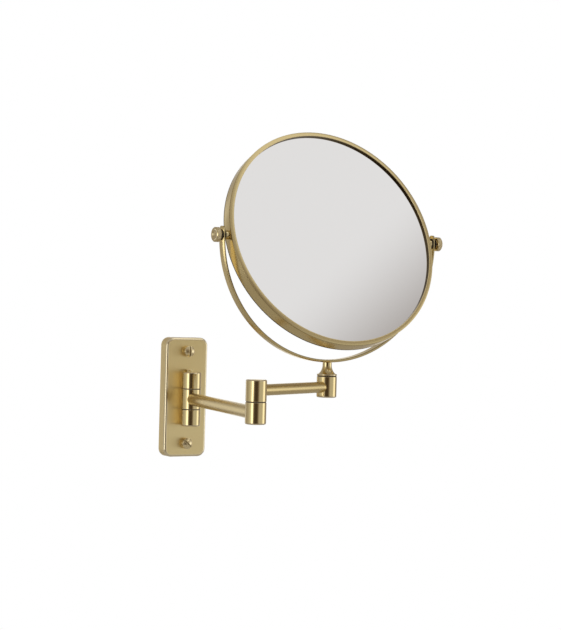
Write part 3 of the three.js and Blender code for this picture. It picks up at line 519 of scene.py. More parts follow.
def edge_wear_shade_group():
    """Masks from the piece's own edge mark, broken up by noise: edges that hands and cloths have
    worn, which are also painted paler as a painted highlight, and painted shade in grooves, slots,
    lips and along the bow's inner edge."""
    group, start, end = new_group(
        "Edge wear and painted shade",
        [("Amount", 0.6, 0.0, 1.0), ("Break Up", 500.0, 0.0, 5000.0)],
        ["Mask", "Painted Shade"],
    )
    mark = add_node(group, "ShaderNodeAttribute", attribute_name="rub_and_shade").outputs["Fac"]
    noise = mottled(group, start.outputs["Break Up"], 2.0)
    # worn edges, which the material also paints paler as a painted highlight
    broken = calculated(group, "MULTIPLY", mark, mapped(group, noise, 0.3, 0.7, 0.75, 1.0))
    mask = calculated(group, "MULTIPLY", broken, start.outputs["Amount"], clamped=True)
    group.links.new(mask, end.inputs["Mask"])
    # painted shade: the marks below 0, broken up by noise
    below = calculated(group, "MULTIPLY", mark, -1.0)
    shade_break_up = mapped(group, noise, 0.3, 0.7, 0.88, 1.0)
    sunk_and_shaded = calculated(group, "MULTIPLY", below, shade_break_up, clamped=True)
    group.links.new(sunk_and_shaded, end.inputs["Painted Shade"])


def new_material(name):
    """Material with a Principled shader, as (material, tree, shader)."""
    material = bpy.data.materials.new(name)
    material.use_nodes = True
    tree = material.node_tree
    return material, tree, tree.nodes["Principled BSDF"]


WORN_SHEEN_PALER = 0.3  # how far a worn edge goes from the metal's own colour towards white: wear, and a painted highlight
PAINTED_SHADE_GAINS = (0.11, 0.09, 0.07)  # painted shade: what is left of the colour in a groove, slot or lip
COAT_ROUGHNESS = 0.12


def metal(
    name, colour, dark, roughness, grain, bump=0.06, rub=0.5, coat=0.0, polish=0.72, spread=0.0
):
    """Brushed metal. grain is (along, across, patchiness), roughness is (least, most), and worn
    edges have polish times the roughness and are painted paler, part wear and part painted highlight.
    Marks below 0 are darkened with painted shade. spread widens a reflection across the brushing."""
    _, tree, shader = new_material(name)
    lines = add_node(tree, "ShaderNodeGroup", node_tree=bpy.data.node_groups["Brushed grain"])
    for label, value in zip(("Along", "Across", "Patchiness"), grain):
        lines.inputs[label].default_value = value
    edges = add_node(tree, "ShaderNodeGroup", node_tree=bpy.data.node_groups["Edge wear and painted shade"])
    edges.inputs["Amount"].default_value = rub
    tone = mapped(tree, lines.outputs["Lines"], 0.3, 0.7, 0.0, 1.0)
    patch = mapped(tree, lines.outputs["Patches"], 0.25, 0.75, 0.0, 1.0)
    both = calculated(tree, "ADD", tone, patch)
    half = calculated(tree, "MULTIPLY", both, 0.5, clamped=True)
    body = blended(tree, half, opaque(dark), opaque(colour))
    # worn edges painted paler towards white: wear, and a painted highlight
    worn_sheen_colour = opaque([c + WORN_SHEEN_PALER * (1 - c) for c in colour])
    worn_and_sheen = blended(tree, edges.outputs["Mask"], body, worn_sheen_colour)
    # painted shade: grooves, slots and lips darkened to a small share of the dark tone
    shaded_colour = blended(tree, edges.outputs["Painted Shade"], worn_and_sheen, opaque(dark, PAINTED_SHADE_GAINS))
    tree.links.new(shaded_colour, shader.inputs["Base Color"])
    rough = mapped(tree, half, 0.0, 1.0, *roughness)
    polished = mapped(tree, edges.outputs["Mask"], 0.0, 1.0, 1.0, polish)
    tree.links.new(calculated(tree, "MULTIPLY", rough, polished), shader.inputs["Roughness"])
    raise_lines(tree, shader, bump, lines.outputs["Lines"])
    shader.inputs["Metallic"].default_value = 1.0
    shader.inputs["Coat Weight"].default_value = coat
    shader.inputs["Coat Roughness"].default_value = COAT_ROUGHNESS
    shader.inputs["Anisotropic"].default_value = spread


def moulded(name, colour, gain, roughness, scale):
    """Dull plastic, board or paint: two tones, the second a gain of the first, and a fine bump from
    one noise."""
    material, tree, shader = new_material(name)
    noise = mottled(tree, scale, 5.0)
    pale = [min(1.0, c * gain) for c in colour]
    body = blended(tree, noise, opaque(colour), opaque(pale))
    tree.links.new(body, shader.inputs["Base Color"])
    tree.links.new(mapped(tree, noise, 0.3, 0.7, *roughness), shader.inputs["Roughness"])
    raise_lines(tree, shader, 0.2, noise)
    return material


def silvered(name, colour):
    """Silvered float glass: a near-perfect mirror whose silver thins a little in faint clouds."""
    _, tree, shader = new_material(name)
    cloud = mottled(tree, 9.0, 3.0)
    body = blended(tree, cloud, opaque(colour), opaque([c * 0.985 for c in colour]))
    tree.links.new(body, shader.inputs["Base Color"])
    tree.links.new(mapped(tree, cloud, 0.3, 0.7, 0.015, 0.03), shader.inputs["Roughness"])
    shader.inputs["Metallic"].default_value = 1.0


# ---- Settings --------------------------------------------------------------------------------


class MirrorSizes(PropertyGroup):
    """Fine sizes that the frame leaves to the finish."""

    plate_edge: FloatProperty(
        name="Plate edge",
        description="Rounding of the plate's front edge",
        default=1.8 * MM,
        unit="LENGTH",
    )
    barrel_edge: FloatProperty(
        name="Barrel edge",
        description="Rounding of a barrel where it meets another",
        default=0.3 * MM,
        unit="LENGTH",
    )
    free_edge: FloatProperty(
        name="Free edge",
        description="Rounding of a barrel's free end",
        default=1.2 * MM,
        unit="LENGTH",
    )
    bezel_crown: FloatProperty(
        name="Bezel crown",
        description="How far the bezel's face falls to its outer edge",
        default=0.65 * MM,
        unit="LENGTH",
    )
    groove: FloatProperty(
        name="Groove",
        description="How far from its grooves the band's edges start to bend in",
        default=1.2 * MM,
        unit="LENGTH",
    )
    bow_edge: FloatProperty(
        name="Bow edge",
        description="Rounding of the bow's inner edges",
        default=0.6 * MM,
        unit="LENGTH",
    )
    knurl_depth: FloatProperty(
        name="Knurl depth",
        description="Depth of the knurling on a thumb screw",
        default=0.28 * MM,
        unit="LENGTH",
    )
    knurl_count: IntProperty(
        name="Knurl count",
        description="Diamonds round a thumb screw",
        default=34,
        min=8,
        max=80,
    )
    screw_pitch: FloatProperty(
        name="Screw pitch",
        description="Pitch of the wood screws' thread",
        default=1.8 * MM,
        unit="LENGTH",
    )
    rest_tilt: FloatProperty(
        name="Tilt",
        description="Upward tilt of the glass at rest",
        default=math.radians(22),
        subtype="ANGLE",
    )


class MirrorColours(PropertyGroup):
    """Colours of the finishes."""

    brass: FloatVectorProperty(
        name="Brass",
        description="Satin brass",
        default=(0.82, 0.66, 0.33),
        subtype="COLOR",
    )
    brass_shade: FloatVectorProperty(
        name="Brass shade",
        description="Brass between the brush lines",
        default=(0.79, 0.63, 0.305),
        subtype="COLOR",
    )
    bronze: FloatVectorProperty(
        name="Bronze",
        description="Bearing bronze",
        default=(0.55, 0.36, 0.17),
        subtype="COLOR",
    )
    steel: FloatVectorProperty(
        name="Steel",
        description="Zinc plated steel",
        default=(0.62, 0.62, 0.6),
        subtype="COLOR",
    )
    washer: FloatVectorProperty(
        name="Washer",
        description="Friction washers",
        default=(0.035, 0.026, 0.018),
        subtype="COLOR",
    )
    silver: FloatVectorProperty(
        name="Silver",
        description="Silvered glass",
        default=(0.9, 0.886, 0.877),
        subtype="COLOR",
    )
    board: FloatVectorProperty(
        name="Board",
        description="Board between the glasses",
        default=(0.22, 0.19, 0.15),
        subtype="COLOR",
    )
    floor: FloatVectorProperty(
        name="Floor",
        description="Studio floor",
        default=(0.8, 0.8, 0.79),
        subtype="COLOR",
    )


def sizes():
    """The fine sizes in use."""
    return bpy.context.scene.mirror_sizes


def colours():
    """The colours in use."""
    return bpy.context.scene.mirror_colours


# ---- Parts that more than one piece has ------------------------------------------------------


def pocketed_barrel(axis, bottom, top, pocket, depth, bore=0.0):
    """Turned barrel with a round pocket up into its foot, and a bore from there to its top."""
    corners = [
        (bore, bottom + depth, 0),
        (pocket, bottom + depth, 0),
        (pocket, bottom, POCKET_EDGE),
        (BARREL_RADIUS, bottom, sizes().free_edge),
        (BARREL_RADIUS, top, sizes().barrel_edge),
        (bore, top, 0),
    ]
    return lathe(rounded(corners, closed=bore > 0), upright(axis), BARREL_TURNS)


def headed_pin(node, axis, start, end, turn, tip=0.0):
    """A pin put in from below: its slotted head, which faces down, and its shank."""
    where = stand((axis[0], axis[1], low(node)[2] + PIN_HEAD_HEIGHT), (0, 0, -1))
    size = PIN_HEAD_RADIUS, PIN_HEAD_HEIGHT, PIN_HEAD_CROWN, PIN_SLOT
    head = slotted_head(*size, where, turn=turn)
    return [head, rod(PIN_RADIUS, start, end, upright(axis), PIN_TURNS, tip=tip)]


def make_washer(node, axis, body):
    """Flat seam washer round an upright axis, in place of its node."""
    bore = PIN_RADIUS + 0.1 * MM
    disc = sleeve(bore, extent(node)[0] / 2, *span(node), upright(axis), WASHER_TURNS)
    make_piece(node + "_disc", [disc], "Friction nylon", body, node)


def make_tube(name, node, start, end, hidden, body):
    """Drawn tube from one upright axis to another, its ends hidden in the barrels' sides."""
    way = end - start
    where = along(start + (0, 0, middle(node)[2]), math.atan2(way[1], way[0]))
    last = np.linalg.norm(way) - hidden
    tube = rod(extent(node)[2] / 2, hidden, last, where, TUBE_TURNS)
    turn_grain(tube, where)
    make_piece(name, [tube], "Drawn brass", body, node)


# ---- Operators -------------------------------------------------------------------------------


class MIRROR_OT_finishes(Operator):
    """Make the node groups and the materials, and give each node of the frame its own"""

    bl_idname = "mirror.finishes"
    bl_label = "Finishes"

    NODE_FINISH = {
        "satin_brass": "Turned brass",
        "bronze": "Bearing bronze",
        "steel": "Zinc steel",
        "nylon": "Friction nylon",
        "mirror_glass": "Silvered glass",
        "spacer_board": "Pressed board",
    }
    PLATE_LIGHT_GAINS = (1.21, 1.23, 1.27)  # painted light: the turned pieces' brass painted lighter for the plate and its screws, for light on its flat face
    LONG_GRAIN = (40, 5200, 45)

    def execute(self, context):
        brushed_grain_group()
        edge_wear_shade_group()
        tint = colours()
        brass, shade = tuple(tint.brass), tuple(tint.brass_shade)
        # painted light: the plate's brass is the turned brass painted lighter
        pale, pale_shade = (
            [min(1.0, c * gain) for c, gain in zip(tone, self.PLATE_LIGHT_GAINS)]
            for tone in (brass, shade)
        )
        fine = {"bump": 0.008, "rub": 0.6}
        metal(
            "Plate brass painted lighter", pale, pale_shade, (0.34, 0.40), (900, 900, 30),
            bump=0.04, rub=1.0, coat=0.2, polish=0.4, spread=0.7,
        )
        metal(
            "Turned brass", brass, shade, (0.11, 0.15), (40, 5200, 60),
            bump=0.01, rub=0.6, coat=0.6,
        )
        metal("Drawn brass", brass, shade, (0.21, 0.27), self.LONG_GRAIN, coat=0.0, **fine)
        metal("Satin brass", brass, shade, (0.24, 0.30), self.LONG_GRAIN, coat=0.1, **fine)
        bronze, steel = tuple(tint.bronze), tuple(tint.steel)
        worn_bronze, worn_steel = [c * 0.8 for c in bronze], [c * 0.82 for c in steel]
        metal("Bearing bronze", bronze, worn_bronze, (0.3, 0.42), (60, 2600, 80))
        metal("Zinc steel", steel, worn_steel, (0.24, 0.38), (60, 2600, 90))
        moulded("Friction nylon", tuple(tint.washer), 1.6, (0.45, 0.6), 900)
        moulded("Pressed board", tuple(tint.board), 1.3, (0.8, 0.95), 700)
        silvered("Silvered glass", tuple(tint.silver))
        for name, node in frame["nodes"].items():
            node.data.materials.clear()
            node.data.materials.append(bpy.data.materials[self.NODE_FINISH[SLOTS[name]]])
        return {"FINISHED"}


class MIRROR_OT_plate(Operator):
    """Lay the wall plate: a rounded block with a soft front edge, hollow and ribbed behind"""

    bl_idname = "mirror.plate"
    bl_label = "Wall plate"

    CORNER = 7.5 * MM
    WALL = 2.8 * MM
    FLOOR = 9.0 * MM  # depth of the hollow
    FLOOR_EDGE = 0.8 * MM
    ROOT = 0.4 * MM  # how far bosses and rib go into that floor
    RIB = 11.0 * MM
    RIB_GAP = 4.4 * MM  # from a screw's axis to the rib's end
    BOSSES = (  # of each screw: radius of its boss and of the hole
        ("wall_screw_upper", 6.6 * MM, 2.4 * MM),
        ("wall_screw_lower", 6.6 * MM, 2.4 * MM),
        ("bracket_screw_upper", RIB / 2, 3.2 * MM),
        ("bracket_screw_lower", RIB / 2, 3.2 * MM),
    )

    def execute(self, context):
        width, _, height = extent("wall_plate")
        full = width / 2
        corners = [
            (full, PLATE_FACE, 0),
            (0, PLATE_FACE, sizes().plate_edge),
            (0, 0, SOFT),
            (self.WALL, 0, SOFT),
            (self.WALL, self.FLOOR, self.FLOOR_EDGE),
            (full, self.FLOOR, 0),
        ]
        profile = rounded(corners, closed=False, steps=6)
        surfaces = [framed(width, height, self.CORNER, profile, out_of_wall((0, 0, 0)), steps=14)]
        levels = []
        top = self.FLOOR + self.ROOT
        for screw, boss, hole in self.BOSSES:
            level = middle(screw)[2]
            levels.append(level)
            corners = [(hole, 0, SMALL), (boss, 0, SOFT), (boss, top, 0), (hole, top, 0)]
            surfaces.append(lathe(rounded(corners), out_of_wall((0, 0, level)), HOLE_TURNS))
        end = height / 2 - self.WALL / 2 + self.RIB_GAP
        stops = [-end, *sorted(levels), end]
        for lower, upper in zip(stops[:-1], stops[1:]):
            size = (self.RIB, upper - lower - 2 * self.RIB_GAP, top)
            surfaces.append(block(size, SOFT, out_of_wall((0, 0, (lower + upper) / 2))))
        make_piece("plate", surfaces, "Plate brass painted lighter", "wall", "wall_plate")
        return {"FINISHED"}


class MIRROR_OT_hinge(Operator):
    """Set the hinge on the plate: lug, web, two outer knuckles, the pin and the seam washers"""

    bl_idname = "mirror.hinge"
    bl_label = "Wall hinge"

    KNUCKLE = 15.1 * MM
    LUG_WIDTH = 5.0 * MM
    LUG_DEPTH = 7.3 * MM
    LUG_EDGE = 0.35 * MM
    WEB = 1.2 * MM
    WEB_LAP = 2.0 * MM  # of the web over each knuckle's lug
    PIN_DROP = 6.0 * MM  # from the lug's top to the pin's end

    def execute(self, context):
        bottom, lug_top = span("hinge_bracket")
        arm_bottom, arm_top = span("middle_knuckle")
        seam = high("hinge_washer_upper")[2] + GAP - arm_top
        lower_top, upper_bottom = arm_bottom - seam, arm_top + seam
        edges = {"foot": sizes().barrel_edge, "tip": sizes().free_edge}
        upper = (BARREL_RADIUS, upper_bottom, upper_bottom + self.KNUCKLE)
        surfaces = [
            rod(*upper, upright(HINGE), BARREL_TURNS, **edges),
            pocketed_barrel(HINGE, bottom, lower_top, HEAD_POCKET, HEAD_POCKET_DEPTH, PIN_RADIUS),
        ]
        depth = -PLATE_FACE - self.LUG_DEPTH / 2
        for start, end in ((bottom, lower_top), (upper_bottom, lug_top)):
            size = (self.LUG_WIDTH, self.LUG_DEPTH, end - start)
            surfaces.append(block(size, self.LUG_EDGE, upright((0, depth, start))))
        size = (self.LUG_WIDTH, self.WEB, arm_top - arm_bottom + 2 * self.WEB_LAP)
        where = upright((0, -PLATE_FACE - self.WEB / 2, arm_bottom - self.WEB_LAP))
        surfaces.append(block(size, SMALL, where))
        make_piece("hinge_knuckles", surfaces, "Turned brass", "wall", "hinge_bracket")
        start = bottom + HEAD_POCKET_DEPTH - FINE
        pin = headed_pin("hinge_pin", HINGE, start, lug_top - self.PIN_DROP, turn=0.5)
        make_piece("hinge_pin_dressed", pin, "Zinc steel", "wall", "hinge_pin")
        for side in ("upper", "lower"):
            make_washer("hinge_washer_" + side, HINGE, "wall")
        return {"FINISHED"}


class MIRROR_OT_wall_screws(Operator):
    """Drive the two wall screws: slotted round heads, and tapered threads that stand in the wall"""

    bl_idname = "mirror.wall_screws"
    bl_label = "Wall screws"

    HEAD_RADIUS = 5.0 * MM
    HEAD_CROWN = 2.0 * MM
    SEAT = 0.86  # of the head's radius, where it meets the plate
    SEAT_RISE = 0.7 * MM
    SLOT = (1.3 * MM, 1.6 * MM)
    TURNS = {"upper": 0.0, "lower": math.radians(48)}
    SHANK_RADIUS = 2.1 * MM
    SHANK_SINK = 1.0 * MM  # from the plate's face to the shank's end
    TAPER = 6.0 * MM
    PLAIN = 1.5 * MM  # above this level the shank has no thread
    RUN_OUT = 2.0 * MM
    THREAD_DEPTH = 0.32  # as a share of the radius
    STEPS = 420

    def thread(self, node, level):
        """Shank whose radius falls from crest to root with the saw of (depth / pitch - angle /
        turn), and tapers to the point as the square root of the distance from it."""
        pitch = sizes().screw_pitch
        tip = -high(node)[1]
        h = np.linspace(tip + 0.02 * MM, self.SHANK_SINK, self.STEPS)
        h = np.concatenate([[tip], h, [PLATE_FACE - self.SHANK_SINK]])
        radius = np.full(len(h), self.SHANK_RADIUS)
        radius[0] = radius[-1] = 0
        profile = np.stack([radius, h], axis=-1), np.zeros(len(h))

        def relief(angle, height, full):
            phase = np.mod(height / pitch - angle / (2 * math.pi), 1.0)
            ridge = np.clip(1 - np.abs(phase - 0.5) * 5, 0, 1)
            point = np.clip((height - tip) / self.TAPER, 0, 1)
            cut = np.clip((self.PLAIN - height) / self.RUN_OUT, 0, 1)
            shape = full * (1 - cut * (1 - ridge) * self.THREAD_DEPTH) * np.sqrt(point)
            return full - np.where(full > 0, shape, 0)

        return lathe(profile, out_of_wall((0, 0, level)), PIN_TURNS, relief)

    def execute(self, context):
        for name, turn in self.TURNS.items():
            node = "wall_screw_" + name
            level = middle(node)[2]
            height = -low(node)[1] - PLATE_FACE
            size = self.HEAD_RADIUS, height, self.HEAD_CROWN, self.SLOT
            where = out_of_wall((0, -PLATE_FACE, level))
            foot = {"seat": self.SEAT, "seat_rise": self.SEAT_RISE}
            surfaces = [slotted_head(*size, where, turn=turn, **foot), self.thread(node, level)]
            make_piece(node + "_head", surfaces, "Plate brass painted lighter", "wall", node)
        return {"FINISHED"}


class MIRROR_OT_inner_arm(Operator):
    """Hang the inner arm: middle knuckle, tube, lower elbow barrel with its pin, and washer"""

    bl_idname = "mirror.inner_arm"
    bl_label = "Inner arm"

    TUBE_END = 5.0 * MM  # from a barrel's axis
    SHANK_RISE = 3.0 * MM  # from the barrel's foot to the pin's shank

    def execute(self, context):
        ends = (BUSH_BORE, BARREL_RADIUS, *span("middle_knuckle"))
        knuckle = sleeve(*ends, upright(HINGE), BARREL_TURNS, sizes().barrel_edge)
        make_piece("arm_knuckle", [knuckle], "Turned brass", "inner_arm", "middle_knuckle")
        make_tube("inner_tube", "inner_arm_tube", HINGE, ELBOW, self.TUBE_END, "inner_arm")
        bottom, top = span("elbow_lower_barrel")
        foot = pocketed_barrel(ELBOW, bottom, top, HEAD_POCKET, HEAD_POCKET_DEPTH)
        make_piece("elbow_foot", [foot], "Turned brass", "inner_arm", "elbow_lower_barrel")
        start, end = bottom + self.SHANK_RISE, high("elbow_pin")[2]
        pin = headed_pin("elbow_pin", ELBOW, start, end, turn=1.1, tip=SOFT)
        make_piece("elbow_pin_dressed", pin, "Zinc steel", "inner_arm", "elbow_pin")
        make_washer("elbow_washer", ELBOW, "inner_arm")
        return {"FINISHED"}


class MIRROR_OT_outer_arm(Operator):
    """Hang the outer arm: upper elbow barrel under its cap, tube, and the post's barrel"""

    bl_idname = "mirror.outer_arm"
    bl_label = "Outer arm"

    CAP_RADIUS = 7.4 * MM
    CAP_EDGE = 0.12 * MM
    CAP_SHOULDER = 0.3 * MM  # from the cap's edge to its dome
    CAP_SEAT = 1.4 * MM  # depth of the step that the cap sits on
    NUT_ROOM = 6.6 * MM  # radius of the hollow under the cap
    BUSH_HEIGHT = 9.0 * MM
    NUT_RECESS = 6.0 * MM
    RECESS_DEPTH = 6.4 * MM
    TUBE_END = 6.8 * MM  # from a barrel's axis

    def cap(self, top):
        """Flat disc whose top rises by D (1 - (r / R)^2)."""
        foot, summit = span("elbow_cap")
        radius = self.CAP_RADIUS - GAP
        disc = [(0, foot, 0), (radius, foot, 0), (radius, top - 0.02 * MM, self.CAP_EDGE)]
        reach = self.CAP_RADIUS - self.CAP_SHOULDER
        shares = np.linspace(1, 0, 14)
        dome = [(reach * r, top + (summit - top) * (1 - r * r), 0) for r in shares]
        return lathe(rounded(disc + dome, closed=False), upright(ELBOW), TUBE_TURNS)

    def execute(self, context):
        bottom, top = span("elbow_upper_barrel")
        ledge, floor = top - self.CAP_SEAT, bottom + self.BUSH_HEIGHT
        corners = [
            (BUSH_BORE, bottom, 0),
            (BARREL_RADIUS, bottom, sizes().barrel_edge),
            (BARREL_RADIUS, top, sizes().free_edge),
            (self.CAP_RADIUS, top, self.CAP_EDGE),
            (self.CAP_RADIUS, ledge, 0),
            (self.NUT_ROOM, ledge, 0),
            (self.NUT_ROOM, floor, 0),
            (BUSH_BORE, floor, 0),
        ]
        upper = lathe(rounded(corners), upright(ELBOW), BARREL_TURNS)
        make_piece("elbow_head", [upper], "Turned brass", "outer_arm", "elbow_upper_barrel")
        make_piece("elbow_lid", [self.cap(top)], "Turned brass", "outer_arm", "elbow_cap")
        make_tube("outer_tube", "outer_arm_tube", ELBOW, POST, self.TUBE_END, "outer_arm")
        ends = span("post_barrel")
        post = pocketed_barrel(POST, *ends, self.NUT_RECESS, self.RECESS_DEPTH, BUSH_BORE)
        make_piece("post", [post], "Turned brass", "outer_arm", "post_barrel")
        return {"FINISHED"}


class MIRROR_OT_neck(Operator):
    """Turn the neck: spindle, bead, and a trumpet that draws in to the bow"""

    bl_idname = "mirror.neck"
    bl_label = "Neck"

    BEAD = 1.8 * MM
    BEAD_EDGE = 0.75 * MM
    SPINDLE_EDGE = 0.4 * MM
    FLARE = (  # radius, and height over the bead, in millimetres
        (7.7, 0.0), (6.9, 0.55), (6.1, 1.3), (5.4, 2.3), (4.9, 3.4), (4.45, 4.6), (4.15, 5.8),
        (4.0, 7.0),
    )
    STEPS = 28

    def execute(self, context):
        """The trumpet is the line through FLARE, each of its inner points b then moved to
        (a + 2 b + c) / 4, a and c being its neighbours."""
        foot = high("post_washer")[2] + GAP
        bottom, top = span("swivel_neck")
        bead = foot + self.BEAD
        flare = np.array(self.FLARE) * MM + (0, bead)
        keys, shares = np.linspace(0, 1, len(flare)), np.linspace(0, 1, self.STEPS)
        curve = np.stack([np.interp(shares, keys, column) for column in flare.T], axis=-1)
        smooth = curve.copy()
        smooth[1:-1] = (curve[:-2] + 2 * curve[1:-1] + curve[2:]) / 4
        corners = [
            (0, bottom, 0),
            (PIN_RADIUS, bottom, self.SPINDLE_EDGE),
            (PIN_RADIUS, foot, 0),
            (BARREL_RADIUS, foot, self.BEAD_EDGE),
            (BARREL_RADIUS, bead, self.BEAD_EDGE),
            *[(radius, height, 0) for radius, height in smooth],
            (smooth[-1, 0], top, 0),
            (0, top, 0),
        ]
        neck = lathe(rounded(corners, closed=False, steps=6), upright(POST), BARREL_TURNS)
        make_piece("neck", [neck], "Turned brass", "bow_frame", "swivel_neck", crease=40)
        make_washer("post_washer", POST, "bow_frame")
        return {"FINISHED"}


class MIRROR_OT_bow(Operator):
    """Bend the bow: a flat strip in a half circle round the tilt axis, with upright round ends"""

    bl_idname = "mirror.bow"
    bl_label = "Bow"

    BEVEL = 1.1 * MM
    BEVEL_EDGE = 0.25 * MM
    # edge marks: painted shade along the inner edge, and a little paler wear and painted highlight on the outer
    # bevel
    INNER_SHADE_MARK = -0.5
    OUTER_MARK = 0.1
    STEPS = 240
    SCREW_RADIUS = 1.5 * MM
    SCREW_HEAD_RADIUS = 3.3 * MM
    SCREW_HEAD = 1.7 * MM
    SCREW_SLOT = (1.0 * MM, 0.85 * MM)

    def strip(self):
        """A section carried along a half circle, (-R cos a, -R sin a), and straight up past each
        end. Its outer edges are bevelled.

        w being half the strip's width, the section's half width is sqrt(w^2 - (w - d)^2) at a
        distance d from a tip, and w from there on, so both tips are round and close in a line."""
        radius = BOW_OUTER_RADIUS - BOW_THICKNESS / 2
        rise = high("bow")[2] - TILT[2]
        half = extent("bow")[1] / 2
        tip = half * (1 - np.cos(np.linspace(0, math.pi / 2, 16)))
        tab = np.concatenate([tip, np.linspace(half, rise, 6)[1:]])
        arc = np.linspace(0, math.pi, self.STEPS)[1:-1]
        side = np.full(len(tab), radius)
        x = np.concatenate([-side, -radius * np.cos(arc), side])
        z = np.concatenate([rise - tab, -radius * np.sin(arc), (rise - tab)[::-1]])
        out = np.concatenate([np.zeros(len(tab)), arc, np.full(len(tab), math.pi)])[:, None]
        distance = np.concatenate([tab, np.full(len(arc), half), tab[::-1]])
        width = np.sqrt(np.maximum(half**2 - np.maximum(half - distance, 0) ** 2, 0))
        face, bevel = BOW_THICKNESS / 2, self.BEVEL
        front = [
            (-face, -half, sizes().bow_edge, self.INNER_SHADE_MARK),
            (face - bevel, -half, self.BEVEL_EDGE, 0),
            (face, bevel - half, self.BEVEL_EDGE, self.OUTER_MARK),
        ]
        back = [(depth, -across, edge, mark) for depth, across, edge, mark in front[::-1]]
        section, rub = rounded(front + back, steps=6)
        thick, across = section[None, :, 0], section[None, :, 1] * (width / half)[:, None]
        place = x[:, None] - thick * np.cos(out), across, z[:, None] - thick * np.sin(out)
        points = TILT + np.stack(place, axis=-1)
        run = lengths(np.stack([x, z], axis=-1))[:, None]
        grain = np.broadcast_arrays(run, np.zeros_like(run), lengths(section)[None, :])
        return Surface(points, np.stack(grain, axis=-1), rub[None, :])

    def screw(self):
        """Countersunk screw, its slotted face flush in the bow."""
        bottom, top = span("bow_screw")
        where = upright((TILT[0], TILT[1], top - self.SCREW_HEAD))
        size = self.SCREW_HEAD_RADIUS, self.SCREW_HEAD, 0.0, self.SCREW_SLOT
        end = top - self.SCREW_HEAD + FINE
        shank = rod(self.SCREW_RADIUS, bottom, end, upright(POST), SHANK_TURNS, foot=SOFT)
        return [slotted_head(*size, where, turn=0.4), shank]

    def execute(self, context):
        make_piece("bow_strip", [self.strip()], "Drawn brass", "bow_frame", "bow")
        make_piece("bow_screw_dressed", self.screw(), "Turned brass", "bow_frame", "bow_screw")
        return {"FINISHED"}


